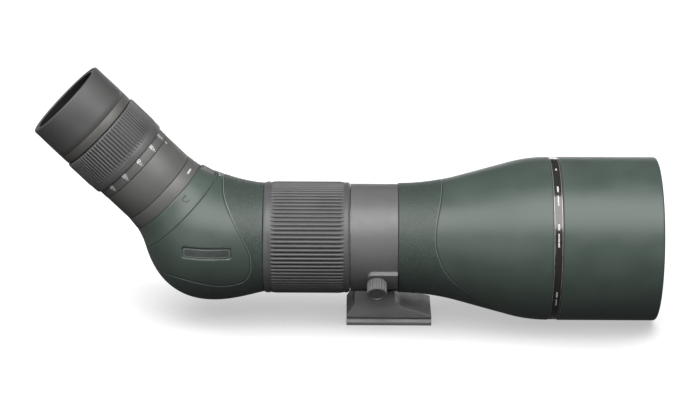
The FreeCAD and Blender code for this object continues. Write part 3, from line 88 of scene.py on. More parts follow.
class Graph:
    """A material's node tree, with short ways to add and join nodes."""

    def __init__(self, name: str) -> None:
        """Start a material.

        Args:
            name: The material's name.
        """
        self.material = bpy.data.materials.new(name)
        self.material.use_nodes = True
        self.tree = self.material.node_tree
        self.shader = self.tree.nodes["Principled BSDF"]

    def add(self, kind: str, **values: object) -> bpy.types.Node:
        """Add a node.

        Args:
            kind: Blender's name for the node type.
            **values: Settings and inputs by name, with "_" for a space. A socket is linked.

        Returns:
            The new node.
        """
        node = self.tree.nodes.new(kind)
        for key, value in values.items():
            if hasattr(node, key):
                setattr(node, key, value)
                continue
            self.feed(node.inputs[key.replace("_", " ")], value)
        return node

    def feed(self, socket: bpy.types.NodeSocket, value: object) -> None:
        """Link a socket to another node's output, or set its value.

        Args:
            socket: The input to fill.
            value: Another node's output, or a plain value.
        """
        if isinstance(value, bpy.types.NodeSocket):
            self.tree.links.new(value, socket)
        else:
            socket.default_value = value

    def place(self) -> bpy.types.NodeSocket:
        """Position in the object's own metres."""
        return self.add("ShaderNodeTexCoord").outputs["Object"]

    def noise(self, scale: float, detail: float = 3.0, rough: float = 0.55) -> bpy.types.NodeSocket:
        """Cloudy noise at a number of cells to the metre."""
        return self.add("ShaderNodeTexNoise", Vector=self.place(), Scale=scale, Detail=detail,
                        Roughness=rough).outputs["Fac"]

    def cells(self, scale: float) -> bpy.types.NodeSocket:
        """Distance to the nearest of many scattered points, for pebbled surfaces."""
        return self.add("ShaderNodeTexVoronoi", Vector=self.place(), Scale=scale).outputs["Distance"]

    def spread(self, source: bpy.types.NodeSocket, low: float, high: float,
               start: float = 0.3, end: float = 0.7) -> bpy.types.NodeSocket:
        """Map a source from start..end onto low..high.

        Args:
            source: The number to map.
            low: Result at start.
            high: Result at end.
            start: Source value that gives low.
            end: Source value that gives high.

        Returns:
            The mapped number.
        """
        node = self.add("ShaderNodeMapRange")
        for socket, value in zip(node.inputs, (source, start, end, low, high)):
            self.feed(socket, value)
        return node.outputs[0]

    def blend(self, factor: object, first: object, second: object) -> bpy.types.NodeSocket:
        """Mix two colours.

        Args:
            factor: Share of the second colour.
            first: Colour or socket at 0.
            second: Colour or socket at 1.

        Returns:
            The mixed colour.
        """
        node = self.add("ShaderNodeMix", data_type="RGBA")
        self.feed(node.inputs[0], factor)
        for socket, value in zip((node.inputs[6], node.inputs[7]), (first, second)):
            self.feed(socket, (*value, 1.0) if isinstance(value, tuple) else value)
        return node.outputs[2]

    def math(self, operation: str, first: object, second: object = 0.0) -> bpy.types.NodeSocket:
        """One arithmetic step.

        Args:
            operation: Blender's name for the step.
            first: Number or socket.
            second: Number or socket.

        Returns:
            The result.
        """
        node = self.add("ShaderNodeMath", operation=operation)
        self.feed(node.inputs[0], first)
        self.feed(node.inputs[1], second)
        return node.outputs[0]

    def bump(self, height: bpy.types.NodeSocket, depth: float, strength: float = 1.0,
             after: bpy.types.NodeSocket | None = None) -> bpy.types.NodeSocket:
        """Bump from a height.

        Args:
            height: Height from 0 to 1.
            depth: Depth in metres of a full height.
            strength: Share of the bump that shows.
            after: An earlier bump that this one lies over.

        Returns:
            The bumped normal.
        """
        node = self.add("ShaderNodeBump", Height=height, Distance=depth, Strength=strength)
        if after is not None:
            self.feed(node.inputs["Normal"], after)
        return node.outputs["Normal"]

    def attribute(self, name: str) -> bpy.types.NodeSocket:
        """A number stored on the mesh."""
        return self.add("ShaderNodeAttribute", attribute_name=name).outputs["Fac"]

    def surface(self, **values: object) -> bpy.types.Material:
        """Set the main shader's sockets.

        Args:
            **values: Inputs by name, with "_" for a space.

        Returns:
            The finished material.
        """
        for key, value in values.items():
            name = key.replace("_", " ")
            if isinstance(value, tuple) and len(value) == 3 and "Color" in name:
                value = (*value, 1.0)
            self.feed(self.shader.inputs[name], value)
        return self.material


@dataclass(frozen=True)
class Rubber:
    """Moulded rubber: a soft sheen, fine skin texture and faint cloudy wear."""

    name: str
    colour: Colour
    worn: Colour
    roughness: float = 0.5
    grain: float = 0.00004
    grain_cells: float = 2600.0
    sheen: float = 0.08
    specular: float = 0.5

    def build(self) -> bpy.types.Material:
        """Make the material.

        Returns:
            The finished material.
        """
        g = Graph(self.name)
        cloud = g.noise(55.0, 4.0)
        fine = g.noise(self.grain_cells, 2.0)
        colour = g.blend(g.spread(cloud, 0.0, 1.0), self.colour, self.worn)
        dust = g.spread(g.noise(900.0, 5.0, 0.7), 0.0, 0.22, 0.56, 0.78)
        colour = g.blend(dust, colour, tuple(min(1.0, c * 1.5 + 0.01) for c in self.worn))
        rough = g.spread(cloud, self.roughness - 0.05, self.roughness + 0.07)
        normal = g.bump(fine, self.grain, 0.5)
        return g.surface(Base_Color=colour, Roughness=rough, Normal=normal,
                         Sheen_Weight=self.sheen, Specular_IOR_Level=self.specular)


@dataclass(frozen=True)
class SeamedRubber:
    """Armour that carries a stippled zone and a fine seam, both read from the mesh. The seam's groove is
    darkened with painted shade, and a light band beside it is a painted highlight on the step's edge.
    """

    name: str
    colour: Colour
    worn: Colour
    stipple_colour: Colour
    # Colour of the painted highlight that runs beside the seam.
    seam_highlight_colour: Colour = (0.26, 0.31, 0.29)
    roughness: float = 0.41
    seam_width: float = 0.32
    stipple_cells: float = 1150.0

    def build(self) -> bpy.types.Material:
        """Make the material.

        Returns:
            The finished material.
        """
        g = Graph(self.name)
        gap = g.attribute("seam_gap")
        stippled = g.spread(gap, 0.0, 1.0, 0.35, 0.9)
        cloud = g.noise(48.0, 4.0)
        smooth_tone = g.blend(g.spread(cloud, 0.0, 1.0), self.colour, self.worn)
        pebble = g.cells(self.stipple_cells)
        pits = g.spread(pebble, 1.0, 0.0, 0.15, 0.75)
        speck = g.blend(g.spread(pebble, 0.0, 1.0, 0.1, 0.65), self.worn, self.stipple_colour)
        colour = g.blend(stippled, smooth_tone, speck)
        # The seam line darkens the colour towards a quarter of the armour's: painted shade in the groove.
        line = g.spread(g.math("ABSOLUTE", gap), 1.0, 0.0, self.seam_width * 0.5, self.seam_width)
        colour = g.blend(g.math("MULTIPLY", line, 0.7), colour, tuple(c * 0.25 for c in self.colour))
        # A light band just beside the seam, on the stippled side: a painted highlight on the step's edge.
        lip = g.spread(g.math("ABSOLUTE", g.math("SUBTRACT", gap, self.seam_width * 1.25)), 1.0, 0.0,
                       self.seam_width * 0.3, self.seam_width * 0.75)
        colour = g.blend(g.math("MULTIPLY", lip, 0.55), colour, self.seam_highlight_colour)
        rough = g.spread(cloud, self.roughness - 0.04, self.roughness + 0.06)
        rough = g.math("ADD", rough, g.math("MULTIPLY", stippled, 0.07))
        skin = g.bump(g.noise(2600.0, 2.0), 0.00003, 0.5)
        pebbled = g.bump(g.math("MULTIPLY", pits, stippled), 0.00012, 0.7, skin)
        grooved = g.bump(g.math("MULTIPLY", line, -1.0), 0.0004, 1.0, pebbled)
        return g.surface(Base_Color=colour, Roughness=rough, Normal=grooved,
                         Sheen_Weight=0.06, Specular_IOR_Level=0.5)


@dataclass(frozen=True)
class Anodised:
    """Blasted and anodised metal: a fine speckle, faint stains and a satin reflection."""

    name: str
    colour: Colour
    light: Colour
    roughness: float = 0.42
    metallic: float = 0.75
    speckle: float = 0.00007
    turned: float = 0.0

    def build(self) -> bpy.types.Material:
        """Make the material.

        Returns:
            The finished material.
        """
        g = Graph(self.name)
        cloud = g.noise(38.0, 4.0)
        fine = g.noise(2300.0, 2.0, 0.6)
        colour = g.blend(g.spread(cloud, 0.0, 1.0), self.colour, self.light)
        colour = g.blend(g.spread(fine, 0.0, 0.35, 0.5, 0.75), colour, tuple(c * 1.35 for c in self.light))
        rough = g.spread(g.noise(160.0, 5.0, 0.65), self.roughness - 0.06, self.roughness + 0.08)
        normal = g.bump(fine, self.speckle, 0.6)
        if self.turned:
            wave = g.add("ShaderNodeTexWave", Vector=g.place(), bands_direction="X", Scale=self.turned,
                         Distortion=0.4, Detail=2.0)
            normal = g.bump(wave.outputs["Fac"], 0.00001, 0.5, normal)
        return g.surface(Base_Color=colour, Roughness=rough, Metallic=self.metallic, Normal=normal,
                         Specular_IOR_Level=0.5)


@dataclass(frozen=True)
class Moulded:
    """Hard plastic or lacquer with a faint orange peel and fine smears."""

    name: str
    colour: Colour
    roughness: float = 0.2
    coat: float = 0.0
    peel: float = 0.00001

    def build(self) -> bpy.types.Material:
        """Make the material.

        Returns:
            The finished material.
        """
        g = Graph(self.name)
        smear = g.noise(140.0, 5.0, 0.7)
        bright = tuple(min(1.0, c * 1.3 + 0.004) for c in self.colour)
        colour = g.blend(g.spread(smear, 0.0, 1.0), self.colour, bright)
        rough = g.spread(smear, self.roughness * 0.8, self.roughness * 1.3 + 0.02)
        normal = g.bump(g.noise(700.0, 2.0), self.peel, 0.6)
        return g.surface(Base_Color=colour, Roughness=rough, Normal=normal,
                         Coat_Weight=self.coat, Coat_Roughness=0.05)


@dataclass(frozen=True)
class CoatedGlass:
    """Optical glass with a dim coloured coating and a trace of dust."""

    name: str
    tint: Colour
    glow: Colour

    def build(self) -> bpy.types.Material:
        """Make the material.

        Returns:
            The finished material.
        """
        g = Graph(self.name)
        dust = g.spread(g.noise(900.0, 4.0, 0.7), 0.0, 0.05, 0.55, 0.8)
        facing = g.add("ShaderNodeLayerWeight", Blend=0.35).outputs["Facing"]
        colour = g.blend(facing, self.tint, self.glow)
        return g.surface(Base_Color=colour, Roughness=dust, Transmission_Weight=1.0,
                         IOR=1.35, Coat_Weight=0.25, Coat_Roughness=0.02, Coat_Tint=(*self.glow, 1.0))


class Finish(Enum):
    """Every finish on the scope, by what it is."""

    ARMOUR = SeamedRubber("armour_green", (0.044, 0.062, 0.052), (0.055, 0.076, 0.064),
                          (0.030, 0.043, 0.036))
    PLAIN_ARMOUR = Rubber("armour_green_plain", (0.044, 0.062, 0.052), (0.054, 0.075, 0.063), 0.40)
    STIPPLE = Rubber("armour_stipple", (0.046, 0.064, 0.054), (0.058, 0.079, 0.067), 0.5)
    GRIP = Rubber("grip_grey", (0.070, 0.070, 0.072), (0.088, 0.088, 0.090), 0.42, sheen=0.04)
    # Darker rubber under the grip ribs: painted shade in the grooves between them.
    VALLEY = Rubber("grip_valley", (0.030, 0.030, 0.031), (0.042, 0.042, 0.043), 0.5, sheen=0.0)
    CUP = Rubber("eyecup_grey", (0.056, 0.055, 0.055), (0.070, 0.069, 0.068), 0.5, sheen=0.05)
    SHELL = Anodised("gunmetal", (0.094, 0.093, 0.090), (0.114, 0.113, 0.110), 0.48, 0.12)
    COLLAR = Anodised("collar_grey", (0.104, 0.104, 0.106), (0.126, 0.126, 0.129), 0.44, 0.15)
    BRONZE = Anodised("ring_bronze", (0.084, 0.082, 0.076), (0.104, 0.101, 0.094), 0.46, 0.15)
    BAND = Moulded("band_black", (0.018, 0.017, 0.017), 0.16, 0.6)
    EDGE = Anodised("band_edge", (0.34, 0.31, 0.29), (0.44, 0.40, 0.38), 0.35, 0.5)
    MARK = Moulded("mark_white", (0.78, 0.78, 0.76), 0.45)
    DARK_MARK = Moulded("mark_dark", (0.012, 0.015, 0.014), 0.5)
    BADGE = Moulded("badge_grey", (0.045, 0.052, 0.049), 0.34, 0.1)
    BADGE_RIM = Anodised("badge_rim", (0.20, 0.22, 0.215), (0.27, 0.29, 0.285), 0.35, 0.5)
    BLACK = Anodised("black_inside", (0.012, 0.012, 0.012), (0.018, 0.018, 0.018), 0.55, 0.3,
                     turned=900.0)
    CASTING = Anodised("black_casting", (0.030, 0.030, 0.031), (0.045, 0.045, 0.046), 0.6, 0.5, 0.00006)
    STEEL = Anodised("bright_steel", (0.42, 0.42, 0.43), (0.55, 0.55, 0.56), 0.28, 1.0, turned=1600.0)
    SEAL = Rubber("seal_black", (0.012, 0.012, 0.012), (0.02, 0.02, 0.02), 0.4)
    # Near-black, dull finish for the sheet inside the eyecup's mouth: painted shade.
    SHADE = Rubber("deep_black", (0.004, 0.004, 0.004), (0.007, 0.007, 0.007), 0.8, sheen=0.0,
                   specular=0.12)
    LINER = Moulded("liner_plastic", (0.55, 0.54, 0.50), 0.4)
    GLASS = CoatedGlass("coated_glass", (0.62, 0.78, 0.70), (0.30, 0.50, 0.42))

    @property
    def material(self) -> bpy.types.Material:
        """The finish's material, built once.

        Returns:
            The material.
        """
        if self not in BUILT:
            BUILT[self] = self.value.build()
        return BUILT[self]


BUILT: dict[Finish, bpy.types.Material] = {}


SLOT_FINISH: dict[str, Finish] = {
    "armour_rubber": Finish.PLAIN_ARMOUR,
    "grip_rubber": Finish.GRIP,
    "eyecup_rubber": Finish.CUP,
    "gunmetal": Finish.SHELL,
    "collar_metal": Finish.COLLAR,
    "ring_bronze": Finish.BRONZE,
    "black_metal": Finish.BLACK,
    "band_black": Finish.BAND,
    "casting": Finish.CASTING,
    "steel": Finish.STEEL,
    "seal": Finish.SEAL,
    "liner": Finish.LINER,
    "lens_glass": Finish.GLASS,
    "badge": Finish.BADGE,
}


# --- axes and mesh tools --------------------------------------------------------------------------

@dataclass(frozen=True)
class Axis:
    """A line of the scope: angles run from its upper side towards the near side, -Y."""

    origin: Vector
    along: Vector
    upper: Vector
    near: Vector = Vector((0.0, -1.0, 0.0))

    @classmethod
    def of_joint(cls, name: str) -> "Axis":
        """The axis that a joint turns about.

        Args:
            name: The joint's name.

        Returns:
            The axis, its stations counted from the joint's point.
        """
        joint = next(j for j in frame["joints"] if j["name"] == name)
        along = Vector(joint["axis"]).normalized()
        near = Vector((0.0, -1.0, 0.0))
        upper = along.cross(near).normalized()
        upper = upper if upper.z > 0 else -upper
        return cls(Vector(joint["pos_m"]), along, upper)

    def out(self, angle: float) -> Vector:
        """Unit vector away from the axis at an angle in degrees."""
        turn = math.radians(angle)
        return self.upper * math.cos(turn) + self.near * math.sin(turn)

    def point(self, station: float, radius: float, angle: float) -> Vector:
        """A point by its station, radius and angle in degrees."""
        return self.origin + self.along * station + self.out(angle) * radius

    def span(self, node: str) -> tuple[float, float]:
        """Stations of a turned CAD node, from its box and its greatest radius.

        Args:
            node: The node's name.

        Returns:
            Its first and last station.
        """
        low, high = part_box(node)
        radius = (high.y - low.y) / 2
        lean = math.hypot(self.along.y, self.along.z)
        ends = sorted((
            (low.x - self.origin.x + radius * lean) / self.along.x,
            (high.x - self.origin.x - radius * lean) / self.along.x,
        ))
        return ends[0], ends[1]


def radius_of(node: str) -> float:
    """Greatest radius of a turned CAD node."""
    low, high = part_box(node)
    return (high.y - low.y) / 2


def new_piece(name: str, verts: Sequence, faces: Sequence, finish: Finish,
              sharp: float = 32.0) -> bpy.types.Object:
    """A mesh piece with its faces outward.

    Args:
        name: The piece's name.
        verts: Its points.
        faces: Its faces, as indices of points.
        finish: Its finish.
        sharp: Angle in degrees past which an edge stays sharp.

    Returns:
        The piece.
    """
    mesh = bpy.data.meshes.new(name)
    mesh.from_pydata([tuple(v) for v in verts], [], faces)
    piece = bpy.data.objects.new(name, mesh)
    bpy.context.scene.collection.objects.link(piece)
    tidy(piece, sharp)
    mesh.materials.append(finish.material)
    return piece


def tidy(piece: bpy.types.Object, sharp: float = 32.0) -> None:
    """Weld doubled points, turn faces outward and set smooth shading.

    Args:
        piece: The piece to tidy.
        sharp: Angle in degrees past which an edge stays sharp.
    """
    work = bmesh.new()
    work.from_mesh(piece.data)
    bmesh.ops.remove_doubles(work, verts=work.verts, dist=1e-7)
    bmesh.ops.recalc_face_normals(work, faces=work.faces)
    work.to_mesh(piece.data)
    work.free()
    piece.data.shade_smooth()
    piece.data.set_sharp_from_angle(angle=math.radians(sharp))


def soften(profile: Profile, radius: float, steps: int = 3) -> Profile:
    """Round the corners of a closed profile.

    Args:
        profile: Corners in order, as (station, radius).
        radius: Rounding, cut down where an edge is short.
        steps: Pieces that each rounded corner is made of.

    Returns:
        The rounded profile.
    """
    rounded: Profile = []
    count = len(profile)
    for i, corner in enumerate(profile):
        here = Vector(corner)
        back = Vector(profile[i - 1]) - here
        ahead = Vector(profile[(i + 1) % count]) - here
        reach = min(radius, back.length * 0.45, ahead.length * 0.45)
        start = here + back.normalized() * reach
        end = here + ahead.normalized() * reach
        for step in range(steps + 1):
            t = step / steps
            spot = start * (1 - t) ** 2 + here * (2 * t * (1 - t)) + end * t ** 2
            rounded.append((spot.x, spot.y))
    return rounded


def sleeve(start: float, end: float, bore: float, radius: float, rounding: float, steps: int = 3) -> Profile:
    """Profile of a plain sleeve with rounded edges."""
    return soften([(start, bore), (start, radius), (end, radius), (end, bore)], rounding, steps)


def lathe(name: str, axis: Axis, profile: Profile, finish: Finish, around: int = 192,
          sharp: float = 32.0) -> bpy.types.Object:
    """Turn a closed profile about an axis.

    Args:
        name: The piece's name.
        axis: The axis to turn about.
        profile: Corners in order, as (station, radius). Both ends at radius 0 make a solid.
        finish: The piece's finish.
        around: Steps in the turn.
        sharp: Angle in degrees past which an edge stays sharp.

    Returns:
        The turned piece.
    """
    solid = profile[0][1] == 0.0 and profile[-1][1] == 0.0
    ring = profile[1:-1] if solid else profile
    verts = [axis.point(s, r, 360.0 * i / around) for i in range(around) for s, r in ring]
    count = len(ring)
    faces: list[tuple[int, ...]] = []
    for i in range(around):
        j = (i + 1) % around
        for k in range(count - 1 if solid else count):
            n = (k + 1) % count
            faces.append((i * count + k, j * count + k, j * count + n, i * count + n))
    if solid:
        poles = (len(verts), len(verts) + 1)
        verts += [axis.point(profile[0][0], 0.0, 0.0), axis.point(profile[-1][0], 0.0, 0.0)]
        for i in range(around):
            j = (i + 1) % around
            faces.append((poles[0], j * count, i * count))
            faces.append((poles[1], i * count + count - 1, j * count + count - 1))
    return new_piece(name, verts, faces, finish, sharp)


def skin(name: str, outer: np.ndarray, inner: np.ndarray, finish: Finish) -> bpy.types.Object:
    """A closed skin between an outer and an inner grid of loops, joined at both ends.

    Args:
        name: The piece's name.
        outer: Loops of points from one end to the other, shaped (rows, around, 3).
        inner: The same for the inside, with as many points around.
        finish: The piece's finish.

    Returns:
        The closed skin.
    """
    loops = np.concatenate([outer, inner[::-1]])
    rows, around = loops.shape[:2]
    index = np.arange(rows * around).reshape(rows, around)
    nxt = np.roll(index, -1, axis=0)
    quads = np.stack([index, np.roll(index, -1, 1), np.roll(nxt, -1, 1), nxt], axis=-1)
    return new_piece(name, loops.reshape(-1, 3).tolist(), quads.reshape(-1, 4).tolist(), finish, 50.0)


def bevelled(piece: bpy.types.Object, width: float, segments: int = 3,
             angle: float = 28.0) -> bpy.types.Object:
    """Round a piece's sharp edges in its own mesh.

    Args:
        piece: The piece to round.
        width: Width of the rounding.
        segments: Steps across it.
        angle: Angle in degrees past which an edge is rounded.

    Returns:
        The same piece.
    """
    modifier = piece.modifiers.new("soft_edges", "BEVEL")
    modifier.width = width
    modifier.segments = segments
    modifier.limit_method = "ANGLE"
    modifier.angle_limit = math.radians(angle)
    modifier.use_clamp_overlap = True
    settle(piece)
    tidy(piece, 40.0)
    return piece


def settle(piece: bpy.types.Object) -> None:
    """Turn a piece and its modifiers into one plain mesh.

    Args:
        piece: The piece, whose modifiers are applied and removed.
    """
    graph = bpy.context.evaluated_depsgraph_get()
    graph.update()
    made = bpy.data.meshes.new_from_object(piece.evaluated_get(graph), depsgraph=graph)
    old = piece.data
    piece.modifiers.clear()
    piece.data = made
    made.name = piece.name
    if old.users == 0:
        bpy.data.meshes.remove(old)


def prism(name: str, outline: Sequence[Vector], sweep: Vector, finish: Finish) -> bpy.types.Object:
    """A flat outline swept along a vector.

    Args:
        name: The piece's name.
        outline: Corners of the outline, in order.
        sweep: How far and which way it is swept.
        finish: The piece's finish.

    Returns:
        The closed piece.
    """
    count = len(outline)
    verts = list(outline) + [p + sweep for p in outline]
    faces: list[tuple[int, ...]] = [tuple(range(count)), tuple(range(2 * count - 1, count - 1, -1))]
    faces += [(i, (i + 1) % count, (i + 1) % count + count, i + count) for i in range(count)]
    return new_piece(name, verts, faces, finish)


def carved(piece: bpy.types.Object, cutter: bpy.types.Object) -> bpy.types.Object:
    """Take one closed shape away from a piece.

    Args:
        piece: The closed piece that gets the hole.
        cutter: The closed shape of the hole, used up by the cut.

    Returns:
        The piece, as one plain mesh.
    """
    modifier = piece.modifiers.new("hole", "BOOLEAN")
    modifier.operation = "DIFFERENCE"
    modifier.solver = "EXACT"
    modifier.object = cutter
    settle(piece)
    bpy.data.objects.remove(cutter)
    tidy(piece, 40.0)
    return piece


def put(piece: bpy.types.Object, body: str, slot: str, *nodes: str) -> bpy.types.Object:
    """Hand a finished piece over.

    Args:
        piece: The finished piece.
        body: The body it rides on.
        slot: Its material slot in the record. Not used.
        *nodes: The CAD nodes it stands for.

    Returns:
        The same piece.
    """
    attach(piece, body)
    if nodes:
        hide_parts(*nodes)
    log.info("%-26s %7d faces, rides on %s", piece.name, len(piece.data.polygons), body)
    return piece


# --- geometry nodes ---------------------------------------------------------------------------------

class Pattern:
    """A geometry node tree with named inputs, and the means to run it on a piece."""

    def __init__(self, name: str, inputs: dict[str, str]) -> None:
        """Start a tree.

        Args:
            name: The tree's name.
            inputs: Kind of each named input beside the piece's own geometry.
        """
        self.tree = bpy.data.node_groups.new(name, "GeometryNodeTree")
        self.tree.interface.new_socket("Geometry", in_out="INPUT", socket_type="NodeSocketGeometry")
        self.tree.interface.new_socket("Geometry", in_out="OUTPUT", socket_type="NodeSocketGeometry")
        self.ids: dict[str, str] = {}
        for label, kind in inputs.items():
            socket = self.tree.interface.new_socket(label, in_out="INPUT", socket_type="NodeSocket" + kind)
            self.ids[label] = socket.identifier
        self.start = self.tree.nodes.new("NodeGroupInput")
        self.end = self.tree.nodes.new("NodeGroupOutput")

    def add(self, kind: str, **values: object) -> bpy.types.Node:
        """Add a node.

        Args:
            kind: Blender's name for the node type.
            **values: Settings and inputs by name, with "_" for a space. A socket is linked.

        Returns:
            The new node.
        """
        node = self.tree.nodes.new(kind)
        for key, value in values.items():
            if hasattr(node, key):
                setattr(node, key, value)
                continue
            self.join(value, node.inputs[key.replace("_", " ")])
        return node

    def join(self, value: object, socket: bpy.types.NodeSocket) -> None:
        """Fill a socket.

        Args:
            value: An output to link, or a plain value.
            socket: The input to fill.
        """
        if isinstance(value, bpy.types.NodeSocket):
            self.tree.links.new(value, socket)
        else:
            socket.default_value = value

    def given(self, label: str) -> bpy.types.NodeSocket:
        """One of the tree's own inputs."""
        return self.start.outputs[label]

    def arithmetic(self, operation: str, first: object, second: object) -> bpy.types.NodeSocket:
        """One arithmetic step on numbers.

        Args:
            operation: Blender's name for the step.
            first: Number or socket.
            second: Number or socket.

        Returns:
            The result.
        """
        node = self.add("ShaderNodeMath", operation=operation)
        self.join(first, node.inputs[0])
        self.join(second, node.inputs[1])
        return node.outputs[0]

    def instances(self, points: bpy.types.Node, output: str | int,
                  rotation: object = (0.0, 0.0, 0.0)) -> bpy.types.Node:
        """Stand copies of the given unit on points.

        Args:
            points: The node that makes the points.
            output: Which of its outputs holds them.
            rotation: How each copy is turned.

        Returns:
            The node that makes the copies.
        """
        unit = self.add("GeometryNodeObjectInfo", Object=self.given("Unit"))
        return self.add("GeometryNodeInstanceOnPoints", Points=points.outputs[output],
                        Instance=unit.outputs["Geometry"], Rotation=rotation)

    def painted(self, instances: bpy.types.NodeSocket) -> bpy.types.NodeSocket:
        """Copies made real and given the tree's material.

        Args:
            instances: The copies.

        Returns:
            The painted geometry.
        """
        real = self.add("GeometryNodeRealizeInstances", Geometry=instances)
        return self.add("GeometryNodeSetMaterial", Geometry=real.outputs[0],
                        Material=self.given("Material")).outputs[0]

    def finish(self, instances: bpy.types.NodeSocket) -> None:
        """Join the copies to the piece.

        Args:
            instances: The copies, made real and painted first.
        """
        joined = self.add("GeometryNodeJoinGeometry")
        self.join(self.given("Geometry"), joined.inputs[0])
        self.join(self.painted(instances), joined.inputs[0])
        self.join(joined.outputs[0], self.end.inputs[0])

    def run(self, piece: bpy.types.Object, **values: object) -> bpy.types.Object:
        """Apply the pattern to a piece for good.

        Args:
            piece: The piece that the copies join.
            **values: The tree's inputs by name. An object among them is used up.

        Returns:
            The same piece.
        """
        modifier = piece.modifiers.new(self.tree.name, "NODES")
        modifier.node_group = self.tree
        for label, value in values.items():
            modifier[self.ids[label]] = value
        settle(piece)
        for source in values.values():
            if isinstance(source, bpy.types.Object):
                bpy.data.objects.remove(source)
        return piece


def ring_pattern() -> Pattern:
    """Copies of a unit evenly turned about an axis through a point.

    Returns:
        The pattern.
    """
    p = Pattern("turned_copies", {
        "Unit": "Object", "Count": "Int", "Origin": "Vector", "Direction": "Vector",
        "Start": "Float", "Step": "Float", "Material": "Material",
    })
    points = p.add("GeometryNodePoints", Count=p.given("Count"), Position=p.given("Origin"))
    index = p.add("GeometryNodeInputIndex").outputs[0]
    angle = p.arithmetic("MULTIPLY_ADD", index, p.given("Step"))
    p.join(p.given("Start"), angle.node.inputs[2])
    turn = p.add("FunctionNodeAxisAngleToRotation", Axis=p.given("Direction"), Angle=angle)
    p.finish(p.instances(points, 0, turn.outputs[0]).outputs[0])
    return p


def row_pattern() -> Pattern:
    """Copies of a unit at even steps along a line.

    Returns:
        The pattern.
    """
    p = Pattern("stepped_copies", {
        "Unit": "Object", "Count": "Int", "Step": "Vector", "Material": "Material",
    })
    index = p.add("GeometryNodeInputIndex").outputs[0]
    shift = p.add("ShaderNodeVectorMath", operation="SCALE")
    p.join(p.given("Step"), shift.inputs[0])
    p.join(index, shift.inputs["Scale"])
    points = p.add("GeometryNodePoints", Count=p.given("Count"), Position=shift.outputs[0])
    p.finish(p.instances(points, 0).outputs[0])
    return p


def pebble_pattern() -> Pattern:
    """Small domes strewn over the faces that carry a mask.

    Returns:
        The pattern.
    """
    p = Pattern("pebbles", {
        "Unit": "Object", "Spacing": "Float", "Density": "Float", "Material": "Material",
    })
    mask = p.add("GeometryNodeInputNamedAttribute", data_type="FLOAT", Name="stipple")
    strewn = p.add("GeometryNodeDistributePointsOnFaces", distribute_method="POISSON",
                   Mesh=p.given("Geometry"))
    p.join(p.given("Spacing"), strewn.inputs["Distance Min"])
    p.join(p.given("Density"), strewn.inputs["Density Max"])
    p.join(mask.outputs[0], strewn.inputs["Density Factor"])
    strewn.inputs["Seed"].default_value = PEBBLE_SEED
    size = p.add("FunctionNodeRandomValue", data_type="FLOAT")
    for socket, value in zip([s for s in size.inputs if s.enabled][:2], PEBBLE_SIZES):
        socket.default_value = value
    placed = p.instances(strewn, "Points", strewn.outputs["Rotation"])
    p.join([s for s in size.outputs if s.enabled][0], placed.inputs["Scale"])
    p.join(p.painted(placed.outputs[0]), p.end.inputs[0])
    return p


class Patterns:
    """The three patterns, built once each."""

    def __init__(self) -> None:
        """Build the trees."""
        self.ring = ring_pattern()
        self.row = row_pattern()
        self.pebbles = pebble_pattern()

    def turn(self, piece: bpy.types.Object, unit: bpy.types.Object, axis: Axis, count: int,
             finish: Finish, start: float = 0.0, step: float | None = None) -> bpy.types.Object:
        """Add copies of a unit around an axis.

        Args:
            piece: The piece that the copies join.
            unit: One copy, made at angle 0 and used up.
            axis: The axis to turn about.
            count: Number of copies.
            finish: Their finish.
            start: Angle of the first in degrees.
            step: Degrees from one to the next. They fill the circle if it is left out.

        Returns:
            The same piece.
        """
        unit.data.transform(Matrix.Translation(-axis.origin))
        way = 1.0 if axis.upper.cross(axis.near).dot(axis.along) > 0 else -1.0
        each = 360.0 / count if step is None else step
        return self.ring.run(piece, Unit=unit, Count=count, Origin=axis.origin, Direction=axis.along,
                             Start=math.radians(start) * way, Step=math.radians(each) * way,
                             Material=finish.material)


def rib(axis: Axis, start: float, end: float, foot: float, top: float, width: float,
        finish: Finish, run_in: float, run_out: float) -> bpy.types.Object:
    """One lengthwise rib at angle 0, rounded across and running out at both ends.

    Args:
        axis: The axis that it lies along.
        start: First station of the rib.
        end: Last station of the rib.
        foot: Radius that the rib is sunk to.
        top: Radius of its crest.
        width: Width across its foot.
        finish: Its finish.
        run_in: Length over which it rises at the start.
        run_out: Length over which it falls at the end.

    Returns:
        The rib.
    """
    across = [(-0.5, 0.0), (-0.44, 0.62), (-0.26, 0.93), (0.0, 1.0), (0.26, 0.93), (0.44, 0.62), (0.5, 0.0)]
    stations = [(start, 0.0), (start + run_in * 0.2, 0.55), (start + run_in * 0.55, 0.88),
                (start + run_in, 1.0), (end - run_out, 1.0), (end - run_out * 0.55, 0.85),
                (end - run_out * 0.2, 0.5), (end, 0.0)]
    verts = []
    for station, share in stations:
        for side, rise in across:
            height = foot + (top - foot) * (rise * share if share else 0.0)
            sideways = side * width * (0.55 + 0.45 * share)
            verts.append(axis.point(station, height, 0.0) + axis.near * sideways)
    wide = len(across)
    faces = []
    for i in range(len(stations) - 1):
        for k in range(wide):
            n = (k + 1) % wide
            faces.append((i * wide + k, i * wide + n, (i + 1) * wide + n, (i + 1) * wide + k))
    faces.append(tuple(range(wide)))
    faces.append(tuple(range(len(verts) - wide, len(verts))))
    return new_piece("rib_unit", verts, faces, finish, 60.0)


def bar(axis: Axis, start: float, end: float, radius: float, width: float, rise: float,
        finish: Finish) -> bpy.types.Object:
    """A flat printed bar at angle 0 on a turned surface.

    Args:
        axis: The surface's axis.
        start: First station.
        end: Last station.
        radius: Radius of the surface.
        width: Width around the surface.
        rise: How far it stands above the surface, and below it.
        finish: Its finish.

    Returns:
        The bar.
    """
    half = math.degrees(width / 2 / radius)
    corners = [(s, a, r) for r in (radius - rise, radius + rise) for s in (start, end) for a in (-half, half)]
    verts = [axis.point(s, r, a) for s, a, r in corners]
    return new_piece("bar_unit", verts, BOX_FACES, finish)


